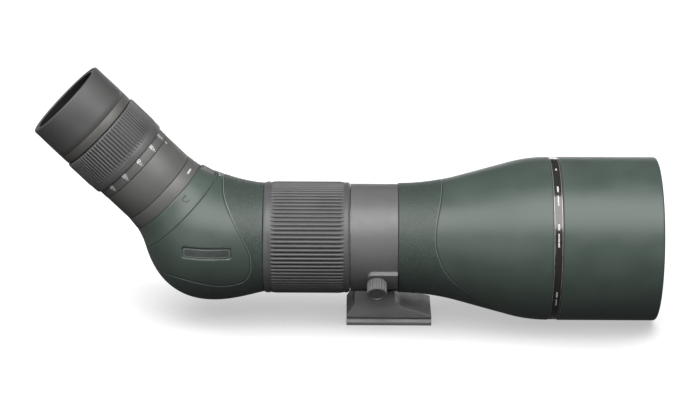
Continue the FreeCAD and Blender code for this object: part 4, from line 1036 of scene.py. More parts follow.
def dome(radius: float, height: float) -> bpy.types.Object:
    """A tiny pebble for the armour, standing on the XY plane.

    Args:
        radius: Radius of its foot.
        height: Its height above the plane, and its depth below.

    Returns:
        The pebble.
    """
    sides = 6
    verts = [(radius * math.cos(math.tau * i / sides), radius * math.sin(math.tau * i / sides), -height)
             for i in range(sides)]
    verts += [(0.62 * x, 0.62 * y, height * 0.75) for x, y, _ in verts]
    verts.append((0.0, 0.0, height))
    faces: list[tuple[int, ...]] = [tuple(range(sides))]
    faces += [(i, (i + 1) % sides, (i + 1) % sides + sides, i + sides) for i in range(sides)]
    faces += [(i + sides, (i + 1) % sides + sides, 2 * sides) for i in range(sides)]
    return new_piece("pebble_unit", verts, faces, Finish.STIPPLE, 70.0)


def wrap_text(name: str, text: str, axis: Axis, station: float, radius: float, angle: float,
              height: float, finish: Finish) -> bpy.types.Object:
    """Figures printed around a turned surface, their tops towards the eyecup.

    Args:
        name: The piece's name.
        text: The figures.
        axis: The surface's axis.
        station: Station of their middle.
        radius: Radius of the surface.
        angle: Angle of their middle in degrees.
        height: Height of a figure.
        finish: Their finish.

    Returns:
        The figures as one piece.
    """
    curve = bpy.data.curves.new(name, "FONT")
    curve.body = text
    curve.size = height * 1.4
    curve.extrude = 0.03 * MM
    curve.align_x = "CENTER"
    curve.align_y = "CENTER"
    source = bpy.data.objects.new(name + "_flat", curve)
    bpy.context.scene.collection.objects.link(source)
    graph = bpy.context.evaluated_depsgraph_get()
    graph.update()
    mesh = bpy.data.meshes.new_from_object(source.evaluated_get(graph), depsgraph=graph)
    for vertex in mesh.vertices:
        flat = vertex.co.copy()
        vertex.co = axis.point(station + flat.y, radius + flat.z, angle - math.degrees(flat.x / radius))
    bpy.data.objects.remove(source)
    mesh.materials.clear()
    mesh.materials.append(finish.material)
    return stand(name, mesh)


def stand(name: str, mesh: bpy.types.Mesh) -> bpy.types.Object:
    """Put a mesh in the scene as a tidied piece.

    Args:
        name: The piece's name.
        mesh: Its mesh.

    Returns:
        The piece.
    """
    piece = bpy.data.objects.new(name, mesh)
    bpy.context.scene.collection.objects.link(piece)
    tidy(piece)
    return piece


def merged(name: str, parts: Sequence[bpy.types.Object]) -> bpy.types.Object:
    """Join several pieces into one.

    Args:
        name: Name of the new piece.
        parts: The pieces, used up. The first gives the material.

    Returns:
        The new piece.
    """
    work = bmesh.new()
    for part in parts:
        work.from_mesh(part.data)
    mesh = bpy.data.meshes.new(name)
    work.to_mesh(mesh)
    work.free()
    for material in parts[0].data.materials:
        mesh.materials.append(material)
    for part in parts:
        bpy.data.objects.remove(part)
    return stand(name, mesh)


def store(piece: bpy.types.Object, name: str, values: np.ndarray) -> None:
    """Keep one number for each point of a piece's mesh."""
    attribute = piece.data.attributes.new(name, "FLOAT", "POINT")
    attribute.data.foreach_set("value", values.astype(np.float32))


def points_of(piece: bpy.types.Object) -> np.ndarray:
    """Every point of a piece's mesh.

    Args:
        piece: The piece.

    Returns:
        Its points as rows.
    """
    spots = np.zeros(len(piece.data.vertices) * 3)
    piece.data.vertices.foreach_get("co", spots)
    return spots.reshape(-1, 3)


def smoothstep(low: float, high: float, x: np.ndarray) -> np.ndarray:
    """0 below low, 1 above high, and a smooth rise between."""
    t = np.clip((x - low) / (high - low), 0.0, 1.0)
    return t * t * (3 - 2 * t)


def smooth_line(knots: Sequence[tuple[float, float]], per_span: int = 16) -> np.ndarray:
    """A smooth curve through knots.

    Args:
        knots: Flat points that the curve goes through.
        per_span: Steps from one knot to the next.

    Returns:
        Points along the curve.
    """
    pts = np.array(knots, float)
    ends = np.vstack([2 * pts[0] - pts[1], pts, 2 * pts[-1] - pts[-2]])
    t = np.linspace(0, 1, per_span, endpoint=False)[:, None]
    spans = []
    for a, b, c, d in zip(ends, ends[1:], ends[2:], ends[3:]):
        spans.append(0.5 * (2 * b + (c - a) * t + (2 * a - 5 * b + 4 * c - d) * t ** 2
                            + (3 * b - a - 3 * c + d) * t ** 3))
    return np.vstack(spans + [pts[-1:]])


def signed_gap(spots: np.ndarray, line: np.ndarray) -> np.ndarray:
    """Distance of flat points from a curve.

    Args:
        spots: The points, as rows.
        line: Points along the curve.

    Returns:
        A distance each, positive on the left of the way the curve runs.
    """
    start = line[:-1]
    step = line[1:] - start
    length = (step ** 2).sum(1)
    best = np.full(len(spots), np.inf)
    side = np.ones(len(spots))
    for a, s, n in zip(start, step, length):
        rel = spots - a
        share = np.clip((rel @ s) / n, 0, 1)
        off = rel - share[:, None] * s
        gap = np.hypot(off[:, 0], off[:, 1])
        nearer = gap < best
        best = np.where(nearer, gap, best)
        side = np.where(nearer, np.sign(s[0] * rel[:, 1] - s[1] * rel[:, 0]), side)
    return best * side


# --- the front: bell, band and sunshade ---------------------------------------------------------------

@dataclass
class FrontEnd:
    """Bell armour, front band and sunshade, all turned about the optical axis."""

    axis: Axis
    patterns: Patterns
    skin_wall: float = 2.2 * MM
    rear_radius: float = 34.7 * MM
    slope: float = 15.2
    corner: float = 24.85 * MM
    rear_bend: float = 146.0 * MM
    front_bend: float = 94.0 * MM
    seam_depth: float = 0.28 * MM
    seam_half: float = 0.45 * MM
    around: int = 360
    mark_station: float = 2.9 * MM
    mark_width: float = 0.42 * MM
    mark_step: float = 0.86
    band_marks: tuple[tuple[float, int, float], ...] = (
        (14.0, 3, 0.9 * MM), (33.0, 6, 1.0 * MM), (41.0, 9, 0.8 * MM), (62.0, 5, 1.0 * MM),
        (68.5, 11, 0.8 * MM), (112.0, 6, 1.0 * MM), (119.0, 8, 0.8 * MM), (148.0, 4, 1.0 * MM),
        (215.0, 12, 0.9 * MM), (262.0, 8, 0.8 * MM), (300.0, 12, 0.9 * MM),
    )
    line_width: float = 0.3 * MM
    line_rise: float = 0.06 * MM
    pebble_spacing: float = 1.05 * MM
    pebble_density: float = 1.4e6
    ridge_pitch: float = 0.8 * MM
    seam_knots: tuple[tuple[float, float], ...] = (
        (0.0, 33.2), (30.0, 32.0), (69.0, 28.4), (94.5, 31.2), (118.7, 41.0), (141.0, 61.4),
        (163.0, 70.5), (180.0, 72.5),
    )

    def bell_radius(self, x: np.ndarray) -> np.ndarray:
        """Outer radius of the bell: a cone joined to two cylinders by arcs.

        Args:
            x: Stations.

        Returns:
            The radius at each.
        """
        wide = radius_of("front_armour")
        lean = math.radians(self.slope)
        half = math.tan(lean / 2)
        top = self.corner + (wide - self.rear_radius) / math.tan(lean)
        rear_run = self.rear_bend * half
        front_run = self.front_bend * half
        cone = self.rear_radius + (x - self.corner) * math.tan(lean)
        first = self.corner - rear_run
        last = top + front_run
        rear_drop = np.sqrt(np.maximum(self.rear_bend ** 2 - (x - first) ** 2, 0))
        rear = self.rear_radius + self.rear_bend - rear_drop
        front = wide - self.front_bend + np.sqrt(np.maximum(self.front_bend ** 2 - (last - x) ** 2, 0))
        sloped = np.where(x < self.corner + rear_run * math.cos(lean), rear, cone)
        radius = np.where(x < first, self.rear_radius, sloped)
        radius = np.where(x > top - front_run * math.cos(lean), front, radius)
        return np.where(x > last, wide, radius)

    def seam_at(self, angle: np.ndarray) -> np.ndarray:
        """Where the seam runs, the same on both sides.

        Args:
            angle: Angles from the top in degrees.

        Returns:
            The seam's station at each.
        """
        line = smooth_line(self.seam_knots)
        folded = np.abs((angle + 180.0) % 360.0 - 180.0)
        return np.interp(folded, line[:, 0], line[:, 1]) * MM

    def build_bell(self) -> None:
        """Bell armour whose rows follow the seam, with the stippled zone behind it."""
        low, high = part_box("front_armour")
        angles = np.linspace(0, 360, self.around, endpoint=False)
        seam = self.seam_at(angles)
        behind = np.concatenate([[0.0, 0.004, 0.012], np.linspace(0.03, 0.96, 54), [0.985]])
        ahead = np.concatenate([[0.015], np.linspace(0.04, 0.985, 66), [0.994, 0.999, 1.0]])
        around_seam = np.linspace(-1.0, 1.0, 9) * self.seam_half
        rows = [low.x + (seam - self.seam_half - low.x) * b for b in behind]
        rows += [seam + g for g in around_seam]
        rows += [seam + self.seam_half + (high.x - seam - self.seam_half) * a for a in ahead]
        stations = np.array(rows)
        gaps = seam[None, :] - stations
        depth = self.seam_depth * (1 - smoothstep(0.0, self.seam_half, np.abs(gaps)))
        edge = np.minimum(stations - low.x, high.x - stations)
        depth = depth + 0.35 * MM * (1 - smoothstep(0.0, 0.5 * MM, edge)) ** 2
        outer = self.loops(stations, self.bell_radius(stations) - depth, angles)
        inner_x = np.repeat(np.linspace(low.x, high.x, 40)[:, None], len(angles), 1)
        inner = self.loops(inner_x, self.bell_radius(inner_x) - self.skin_wall, angles)
        piece = skin("bell_armour_skin", outer, inner, Finish.ARMOUR)
        spots = points_of(piece)
        turn = np.degrees(np.arctan2(-spots[:, 1], spots[:, 2] - self.axis.origin.z))
        gap = (self.seam_at(turn) - spots[:, 0]) / MM
        radial = np.hypot(spots[:, 1], spots[:, 2] - self.axis.origin.z)
        outside = radial > self.bell_radius(spots[:, 0]) - self.skin_wall * 0.5
        store(piece, "seam_gap", gap)
        store(piece, "stipple", ((gap > 1.2) & outside & (spots[:, 0] > low.x + 1.5 * MM)).astype(float))
        self.strew(piece, "bell_stipple")
        put(piece, "scope", "armour_rubber", "front_armour")

    def strew(self, base: bpy.types.Object, name: str) -> None:
        """Pebble the stippled zone of a skin with a separate piece.

        Args:
            base: The skin.
            name: The pebbles' piece.
        """
        piece = bpy.data.objects.new(name, base.data.copy())
        bpy.context.scene.collection.objects.link(piece)
        self.patterns.pebbles.run(piece, Unit=dome(0.34 * MM, 0.07 * MM), Spacing=self.pebble_spacing,
                                  Density=self.pebble_density, Material=Finish.STIPPLE.material)
        put(piece, "scope", "armour_rubber")

    def loops(self, stations: np.ndarray, radii: np.ndarray, angles: np.ndarray) -> np.ndarray:
        """Points of turned rows.

        Args:
            stations: Station of each point, shaped (rows, around).
            radii: Radius of each point.
            angles: Angle of each column in degrees.

        Returns:
            The points, shaped (rows, around, 3).
        """
        turn = np.radians(angles)[None, :]
        return np.stack([
            stations,
            -radii * np.sin(turn) * np.ones_like(stations),
            self.axis.origin.z + radii * np.cos(turn) * np.ones_like(stations),
        ], axis=-1)

    def build_band(self) -> None:
        """Gloss band with a thin bright line at each edge and plain printed dashes."""
        low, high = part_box("front_band")
        radius = (high.y - low.y) / 2
        bore = radius_of("objective_tube")
        band = lathe("front_band_ring", self.axis, sleeve(low.x, high.x, bore, radius, 0.3 * MM),
                     Finish.BAND, 256)
        middle = low.x + self.mark_station
        for start, count, tall in self.band_marks:
            dash = bar(self.axis, middle - tall * 0.5, middle + tall * 0.5, radius + 0.004 * MM,
                       self.mark_width, 0.012 * MM, Finish.MARK)
            self.patterns.turn(band, dash, self.axis, count, Finish.MARK, start, self.mark_step)
        put(band, "scope", "band_black", "front_band")
        proud = radius + self.line_rise
        for name, station in (("band_line_rear", low.x + 0.25 * MM), ("band_line_front", high.x - 0.55 * MM)):
            line = sleeve(station, station + self.line_width, bore, proud, 0.08 * MM, 2)
            put(lathe(name, self.axis, line, Finish.EDGE, 256), "scope", "band_black")

    def build_sunshade(self) -> None:
        """Sliding sunshade with a rounded rim, and a black lining with fine light-trap ridges."""
        low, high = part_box("sunshade")
        radius = (high.y - low.y) / 2
        bore = radius_of("objective_tube") + 0.05 * MM
        rim = high.x
        outer = [(low.x, bore), (low.x, radius - 0.45 * MM), (low.x + 0.5 * MM, radius)]
        outer += [(low.x + share * (rim - low.x), radius) for share in (0.25, 0.5, 0.75)]
        for step in range(9):
            turn = math.radians(90 * step / 8)
            back, drop = 1.6 * MM * (1 - math.sin(turn)), 1.1 * MM * (1 - math.cos(turn))
            outer.append((rim - back, radius - drop))
        outer += [(rim - 0.25 * MM, bore + 0.25 * MM), (rim - 0.9 * MM, bore)]
        put(lathe("sunshade_shell", self.axis, outer, Finish.PLAIN_ARMOUR, 288, 40.0),
            "hood", "armour_rubber", "sunshade")
        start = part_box("objective_tube")[1].x + 0.6 * MM
        pitch = self.ridge_pitch
        count = int((rim - 2.0 * MM - start) / pitch)
        end, face, back = rim - 1.6 * MM, bore - 0.05 * MM, bore + 0.2 * MM
        base = lathe("sunshade_lining", self.axis, [(start, face), (end, face), (end, back), (start, back)],
                     Finish.BLACK, 192)
        tooth = [(start, bore), (start + pitch * 0.5, bore - 0.4 * MM), (start + pitch, bore)]
        self.patterns.row.run(base, Unit=lathe("ridge_unit", self.axis, tooth, Finish.BLACK, 96), Count=count,
                              Step=(pitch, 0.0, 0.0), Material=Finish.BLACK.material)
        put(base, "hood", "black_metal")

    def build(self) -> None:
        """Make the whole front end."""
        self.build_bell()
        self.build_band()
        self.build_sunshade()


# --- focus ring ----------------------------------------------------------------------------------------

@dataclass
class FocusRing:
    """Ribbed focus grip with smooth rims."""

    axis: Axis
    patterns: Patterns
    ribs: int = 80
    rear_radius: float = 34.7 * MM
    front_radius: float = 34.05 * MM
    floor_radius: float = 34.25 * MM
    rear_margin: float = 4.2 * MM
    front_margin: float = 3.3 * MM
    rib_width: float = 2.0 * MM
    rib_fade: float = 4.6 * MM
    valley_inset: float = 2.1 * MM

    def build(self) -> None:
        """Make the sleeve and stand its ribs on it."""
        low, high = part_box("focus_grip")
        crest = (high.y - low.y) / 2
        bore = radius_of("focus_sleeve")
        first = low.x + self.rear_margin
        last = high.x - self.front_margin
        profile = soften([
            (low.x, bore),
            (low.x, self.rear_radius),
            (first - 2.2 * MM, crest - 0.16 * MM),
            (first - 1.2 * MM, crest - 0.10 * MM),
            (first + 2.6 * MM, self.floor_radius),
            (last - 2.6 * MM, self.floor_radius),
            (last + 1.0 * MM, crest - 0.26 * MM),
            (last + 1.9 * MM, crest - 0.42 * MM),
            (high.x, self.front_radius),
            (high.x, bore),
        ], 0.7 * MM, 4)
        grip = lathe("focus_grip_ribbed", self.axis, profile, Finish.GRIP, 320, 40.0)
        # A darker sleeve just under the ribs' feet: painted shade in the grooves between the ribs.
        start, end = first + self.valley_inset, last - self.valley_inset
        level = self.floor_radius + 0.04 * MM
        valley = [(start, bore), (start, level), (end, level), (end, bore)]
        put(lathe("focus_grip_valleys", self.axis, valley, Finish.VALLEY, 320), "focus_ring", "grip_rubber")
        unit = rib(self.axis, first - 1.0 * MM, last + 1.0 * MM, self.floor_radius - 0.25 * MM,
                   crest - 0.02 * MM, self.rib_width, Finish.GRIP, self.rib_fade, self.rib_fade)
        self.patterns.turn(grip, unit, self.axis, self.ribs, Finish.GRIP)
        put(grip, "focus_ring", "grip_rubber", "focus_grip")


# --- prism housing and neck ----------------------------------------------------------------------------

@dataclass
class Housing:
    """Armour of the bent prism housing, its badge, the neck cover and the latch."""

    main: Axis
    eye: Axis
    front: FrontEnd
    base_radius: float = 34.6 * MM
    neck_station: float = 26.4 * MM
    neck_radius: float = 32.6 * MM
    heel: float = 12.5 * MM
    swell: float = 7.0 * MM
    skew: float = 1.25
    crook: float = 2.5
    blend: float = 2.5 * MM
    wall: float = 2.2 * MM
    rows: int = 170
    around: int = 380
    seam_knots: tuple[tuple[float, float], ...] = (
        (5.5, 46.0), (7.6, 40.4), (9.7, 32.3), (17.5, 16.8), (24.1, 3.9), (25.9, -5.0), (25.0, -13.6),
        (20.5, -19.2), (12.0, -21.3), (4.5, -21.1), (-15.6, -17.0), (-28.6, -16.6), (-46.0, -19.0),
    )
    seam_groove: float = 0.26 * MM
    stipple_top: float = 60 * MM
    badge_depth: float = 0.9 * MM
    badge_rim: float = 0.42 * MM
    badge_rim_inset: float = 0.45 * MM
    cover_top: float = 38.2 * MM
    cover_bow: float = 0.45 * MM
    arrow_station: float = 33.4 * MM
    arrow_angle: float = 62.0
    arrow_size: float = 2.0 * MM
    arrow_stroke: float = 0.13
    arrow_path: tuple[tuple[float, float], ...] = (
        (-0.9, -0.6), (-0.9, 0.6), (0.2, 1.0), (0.9, 0.6), (0.9, -0.8), (0.3, -0.2),
    )
    screw_station: float = 24.6 * MM
    screw_radius: float = 1.5 * MM
    latch_station: float = 32.3 * MM
    latch_reach: float = 4.7 * MM
    latch_floor: float = 26.9 * MM
    latch_crown: float = 31.2 * MM
    latch_gap: float = 0.25 * MM
    latch_rib_step: float = 1.25 * MM

    def section(self, share: float, angles: np.ndarray, inset: float) -> np.ndarray:
        """One closed loop of the housing, on a plane of the fan that bends round its inner corner.

        Args:
            share: How far round the bend, from 0 at the barrel to 1 at the neck.
            angles: Angles around the loop in radians.
            inset: How far the loop lies inside the skin.

        Returns:
            The loop's points as rows.
        """
        tilt = math.acos(-self.eye.along.x)
        neck = self.eye.point(self.neck_station, 0.0, 0.0)
        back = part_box("housing_armour")[1].x
        reach_eye = (back - neck.x) / math.sin(tilt)
        pivot = neck + self.eye.upper * reach_eye
        reach_main = pivot.z - self.main.origin.z
        turn = tilt * share
        down = np.array([-math.sin(turn), 0.0, -math.cos(turn)])
        swing = math.sin(math.pi * share ** self.skew)
        near = reach_main - self.base_radius
        near += (reach_eye - self.neck_radius - near) * share ** self.crook + inset
        far = reach_main + self.base_radius
        far += (reach_eye + self.neck_radius - far) * share + self.heel * swing - inset
        wide = self.base_radius * (1 - share) + self.neck_radius * share + self.swell * swing - inset
        ends = np.array([reach_main / math.cos(turn), reach_eye / math.cos(tilt - turn)])
        soft = np.log(np.exp(-(ends - ends.min()) / self.blend).sum())
        middle = -self.blend * float(soft) + float(ends.min())
        reach = np.where(np.cos(angles) > 0, far - middle, middle - near)
        centre = np.array(pivot) + down * middle
        across = np.array([0.0, 1.0, 0.0]) * (wide * np.sin(angles))[:, None]
        return centre + down * (reach * np.cos(angles))[:, None] + across

    def grid(self, shares: np.ndarray, inset: float) -> np.ndarray:
        """Loops of the housing for several shares of the bend."""
        angles = np.linspace(0, 2 * math.pi, self.around, endpoint=False)
        return np.array([self.section(s, angles, inset) for s in shares])

    def seam_gap(self, spots: np.ndarray) -> np.ndarray:
        """How far points lie from the seam.

        Args:
            spots: The points, as rows.

        Returns:
            A distance each in millimetres, positive on the stippled side.
        """
        flat = np.stack([spots[:, 0] - self.eye.origin.x, spots[:, 2] - self.main.origin.z], axis=1) / MM
        return signed_gap(flat, smooth_line(self.seam_knots))

    def badge_gap(self, spots: np.ndarray, grow: float = 0.0) -> np.ndarray:
        """How far points lie outside the badge's rounded outline.

        Args:
            spots: The points, as rows.
            grow: How much larger the outline is taken on each side.

        Returns:
            A distance each in metres, negative inside.
        """
        low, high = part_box("badge_plate")
        middle = (low + high) / 2
        half = (high - low) / 2 + Vector((grow, 0.0, grow))
        corner = 1.3 * MM
        dx = np.abs(spots[:, 0] - middle.x) - half.x + corner
        dz = np.abs(spots[:, 2] - middle.z) - half.z + corner
        outside = np.hypot(np.maximum(dx, 0), np.maximum(dz, 0)) - corner
        return np.where((dx > 0) | (dz > 0), outside, np.maximum(dx, dz) - corner)

    def build_armour(self) -> None:
        """Armour skin with its seam, stippled zone and badge recess."""
        shares = np.concatenate([[0.0, 0.003, 0.008], np.linspace(0.02, 0.985, self.rows), [0.995, 1.0]])
        outer = self.grid(shares, 0.0)
        centre = outer.mean(1, keepdims=True)
        inward = centre - outer
        inward /= np.linalg.norm(inward, axis=2, keepdims=True)
        flat = outer.reshape(-1, 3)
        gap = self.seam_gap(flat)
        groove = self.seam_groove * (1 - smoothstep(0.0, 0.75, np.abs(gap)))
        recess = self.badge_depth * (1 - smoothstep(0.0, 0.5 * MM, self.badge_gap(flat, 0.15 * MM)))
        recess = np.where(flat[:, 1] < 0, recess, 0.0)
        ends = np.repeat(np.minimum(shares, 1 - shares), self.around)
        lip = 0.35 * MM * (1 - smoothstep(0.0, 0.008, ends)) ** 2
        moved = outer + inward * (groove + recess + lip).reshape(outer.shape[:2])[..., None]
        inside = self.grid(np.linspace(0, 1, 14), self.wall)
        piece = skin("housing_armour_skin", moved, inside, Finish.ARMOUR)
        spots = points_of(piece)
        gap = self.seam_gap(spots)
        skin_count = len(shares) * self.around
        outside = np.arange(len(spots)) < skin_count
        clear = (self.badge_gap(spots) > 1.2 * MM) | (spots[:, 1] > 0)
        below = spots[:, 2] < self.main.origin.z + self.stipple_top
        store(piece, "seam_gap", np.where(clear, gap, -9.0))
        store(piece, "stipple", ((gap > 1.2) & outside & clear & below).astype(float))
        self.front.strew(piece, "housing_stipple")
        put(piece, "scope", "armour_rubber", "housing_armour")

    def build_badge(self) -> None:
        """Blank curved badge with a raised rim, lying in the recess."""
        low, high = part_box("badge_plate")
        middle = (low + high) / 2
        half = (high - low) / 2
        floor = self.badge_depth
        top = floor - 0.42 * MM
        loop = self.rounded_loop(half.x, half.z)
        rings = [[(x, z, floor) for x, z in loop], [(x, z, floor - 0.30 * MM) for x, z in loop]]
        for share in (0.985, 0.85, 0.6, 0.35, 0.12):
            rings.append([(x * share, z * share, top) for x, z in loop])
        plate = self.badge_piece("badge_blank", middle, rings, Finish.BADGE, False)
        put(plate, "scope", "badge", "badge_plate")
        long, tall = half.x - self.badge_rim_inset, half.z - self.badge_rim_inset
        loop = self.rounded_loop(long, tall)
        thin = [(x * (long - self.badge_rim) / long, z * (tall - self.badge_rim) / tall) for x, z in loop]
        foot, crest = floor - 0.35 * MM, floor - 0.55 * MM
        rings = [[(x, z, depth) for x, z in line]
                 for line, depth in ((loop, foot), (loop, crest), (thin, crest), (thin, foot))]
        put(self.badge_piece("badge_rim", middle, rings, Finish.BADGE_RIM, True), "scope", "badge")

    def rounded_loop(self, half_x: float, half_z: float, corner: float = 1.2 * MM,
                     steps: int = 10) -> list[tuple[float, float]]:
        """Outline of a rounded rectangle about its middle.

        Args:
            half_x: Half its length.
            half_z: Half its height.
            corner: Radius of its corners.
            steps: Steps in each corner.

        Returns:
            Its points, with more along the straight sides.
        """
        signs = ((1, 1), (-1, 1), (-1, -1), (1, -1))

        def spot(quarter: int, degrees: float) -> tuple[float, float]:
            """A point of one corner's arc.

            Args:
                quarter: Which corner, counted round from the first.
                degrees: How far round the arc's circle.

            Returns:
                Its X and Z from the middle.
            """
            (sx, sz), turn = signs[quarter % 4], math.radians(degrees)
            return (sx * (half_x - corner) + corner * math.cos(turn),
                    sz * (half_z - corner) + corner * math.sin(turn))

        loop = []
        for quarter in range(4):
            loop += [spot(quarter, 90 * (quarter + step / steps)) for step in range(steps + 1)]
            straight = 12 if quarter % 2 == 0 else 4
            start, end = loop[-1], spot(quarter + 1, 90 * (quarter + 1))
            loop += [tuple(a + (b - a) * k / straight for a, b in zip(start, end)) for k in range(1, straight)]
        return loop

    def near_surface(self, x: float, z: float, depth: float) -> Vector:
        """Point of the housing's near side above a place in the XZ plane.

        Args:
            x: The place's X.
            z: The place's Z.
            depth: How far the point is sunk into the surface.

        Returns:
            The point.
        """
        if not hasattr(self, "_near"):
            spots = self.grid(np.linspace(0.02, 0.98, 120), 0.0).reshape(-1, 3)
            self._near = spots[spots[:, 1] < -20 * MM]
        gaps = np.hypot(self._near[:, 0] - x, self._near[:, 2] - z)
        order = np.argsort(gaps)[:4]
        weight = 1 / (gaps[order] + 1e-6)
        y = float((self._near[order, 1] * weight).sum() / weight.sum())
        out = Vector((x - self.eye.origin.x, y, z - self.main.origin.z)).normalized()
        return Vector((x, y, z)) - out * depth

    def badge_piece(self, name: str, middle: Vector, rings: Sequence[Sequence[tuple[float, float, float]]],
                    finish: Finish, hollow: bool) -> bpy.types.Object:
        """A plate or a rim that follows the housing's surface.

        Args:
            name: The piece's name.
            middle: Middle of the badge.
            rings: Loops of points as (x, z, depth) about the middle.
            finish: The piece's finish.
            hollow: True for a rim, whose last loop joins its first, and False for a closed plate.

        Returns:
            The piece.
        """
        count, total = len(rings[0]), len(rings)
        verts = [self.near_surface(middle.x + x, middle.z + z, depth)
                 for ring in rings for x, z, depth in ring]
        faces: list[tuple[int, ...]] = []
        for r in range(total if hollow else total - 1):
            n = (r + 1) % total
            faces += [(r * count + k, r * count + (k + 1) % count, n * count + (k + 1) % count, n * count + k)
                      for k in range(count)]
        if not hollow:
            faces += [tuple(range(count)), tuple(range((total - 1) * count, total * count))]
        return new_piece(name, verts, faces, finish, 30.0)

    def build_neck(self) -> None:
        """Neck cover, the arrow on its near side, the small screw and the ribbed latch."""
        base, top = self.neck_station, self.cover_top
        outer = radius_of("neck_cover")
        end = radius_of("eyepiece_base_ring") + 0.1 * MM
        bore = radius_of("eyepiece_shell") - 1.2 * MM
        profile = [(base + 0.05 * MM, bore), (base + 0.05 * MM, outer - 0.3 * MM),
                   (base + 0.45 * MM, outer - 0.12 * MM)]
        for step in range(1, 13):
            share = step / 12
            bow = self.cover_bow * math.sin(math.pi * share)
            profile.append((base + (top - 0.35 * MM - base) * share, outer + (end - outer) * share - bow))
        profile += [(top - 0.05 * MM, end - 0.3 * MM), (top - 0.05 * MM, bore)]
        cover = lathe("neck_cover_skin", self.eye, profile, Finish.PLAIN_ARMOUR, 256)
        put(carved(cover, self.latch_window()), "scope", "armour_rubber", "neck_cover")
        self.build_arrow()
        self.build_screw()
        self.build_latch()

    def cover_point(self, station: float, degrees: float, around: float, lift: float) -> Vector:
        """A point on the neck cover.

        Args:
            station: Its station.
            degrees: Angle that the way around is measured from.
            around: Way around the cover from there.
            lift: Height above the cover.

        Returns:
            The point.
        """
        share = (station - self.neck_station) / (self.cover_top - self.neck_station)
        drop = self.cover_bow * math.sin(math.pi * share)
        radius = self.neck_radius + (COVER_END - self.neck_radius) * share - drop
        return self.eye.point(station, radius + lift, degrees + math.degrees(around / radius))

    def build_arrow(self) -> None:
        """A plain engraved turn mark: a short bent line with a head."""
        verts, faces = [], []
        for (ax, ay), (bx, by) in zip(self.arrow_path, self.arrow_path[1:]):
            way = Vector((bx - ax, by - ay)).normalized()
            side = Vector((-way.y, way.x)) * self.arrow_stroke
            corners = [(x + side.x * sign, y + side.y * sign)
                       for x, y in ((ax, ay), (bx, by)) for sign in (-1, 1)]
            a = len(verts)
            for lift in (-0.10 * MM, 0.04 * MM):
                verts += [self.cover_point(self.arrow_station + x * self.arrow_size, self.arrow_angle,
                                           y * self.arrow_size, lift) for x, y in corners]
            faces += [tuple(a + k for k in corner) for corner in BOX_FACES]
        put(new_piece("neck_turn_mark", verts, faces, Finish.DARK_MARK), "scope", "armour_rubber")

    def latch_window(self) -> bpy.types.Object:
        """The opening that the press tab moves in.

        Returns:
            A block to cut it with, a little larger than the tab.
        """
        low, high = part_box("latch_tab")
        wide = high.y - low.y + 2 * self.latch_gap
        reach = self.latch_reach + self.latch_gap
        shift = Vector((0.0, -wide / 2, 0.0))
        sides = ((-reach, 20.0 * MM), (reach, 20.0 * MM), (reach, 36.0 * MM), (-reach, 36.0 * MM))
        outline = [self.eye.point(self.latch_station + s, r, 0.0) + shift for s, r in sides]
        return prism("latch_window", outline, Vector((0.0, wide, 0.0)), Finish.PLAIN_ARMOUR)

    def build_screw(self) -> None:
        """Small socket screw on the upper side, where the housing meets the neck."""
        axis = Axis(self.eye.point(self.screw_station, 0.0, 0.0), self.eye.upper, -self.eye.along)
        seat = self.neck_radius + 0.35 * MM
        wide = self.screw_radius
        profile = [(seat - 1.5 * MM, 0.0), (seat - 1.5 * MM, wide), (seat + 0.25 * MM, wide),
                   (seat + 0.45 * MM, wide - 0.2 * MM), (seat + 0.45 * MM, wide / 2),
                   (seat - 0.35 * MM, wide * 0.4), (seat - 0.35 * MM, 0.0)]
        put(lathe("neck_screw_head", axis, profile, Finish.STEEL, 48, 30.0), "scope", "steel", "neck_screw")

    def build_latch(self) -> None:
        """Press tab with lengthwise ribs."""
        low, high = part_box("latch_tab")
        half_wide = (high.y - low.y) / 2
        first, last = self.latch_station - self.latch_reach, self.latch_station + self.latch_reach
        crown = self.latch_crown
        peak, foot = first + 0.8 * MM, last - 0.8 * MM
        corners = ((first, self.latch_floor), (last, self.latch_floor), (last, crown - 2.0 * MM),
                   (foot, crown - 1.5 * MM), (peak, crown + 0.7 * MM), (first, crown + 0.3 * MM))
        outline = [self.eye.point(s, r, 0.0) + Vector((0.0, -half_wide, 0.0)) for s, r in corners]
        tab = prism("latch_tab_ribbed", outline, Vector((0.0, 2 * half_wide, 0.0)), Finish.SHELL)
        bevelled(tab, 0.35 * MM)
        faces = [(0, 1, 2, 3), (4, 5, 6, 7)] + [(k, (k + 1) % 4, (k + 1) % 4 + 4, k + 4) for k in range(4)]
        for step in range(-2, 3):
            verts = []
            for s in (first + 1.2 * MM, last - 1.2 * MM):
                top = crown + 0.7 * MM - 2.2 * MM * (s - peak) / (foot - peak)
                for y, lift in ((-0.3, -0.3), (-0.22, 0.28), (0.22, 0.28), (0.3, -0.3)):
                    aside = Vector((0.0, step * self.latch_rib_step + y * MM, 0.0))
                    verts.append(self.eye.point(s, top + lift * MM, 0.0) + aside)
            line = new_piece("latch_rib_%d" % (step + 3), verts, faces, Finish.COLLAR)
            put(bevelled(line, 0.1 * MM, 2), "latch", "gunmetal")
        put(tab, "latch", "gunmetal", "latch_tab")

    def build(self) -> None:
        """Make the housing, badge and neck."""
        self.build_armour()
        self.build_badge()
        self.build_neck()


# --- eyepiece ---------------------------------------------------------------------------------------------

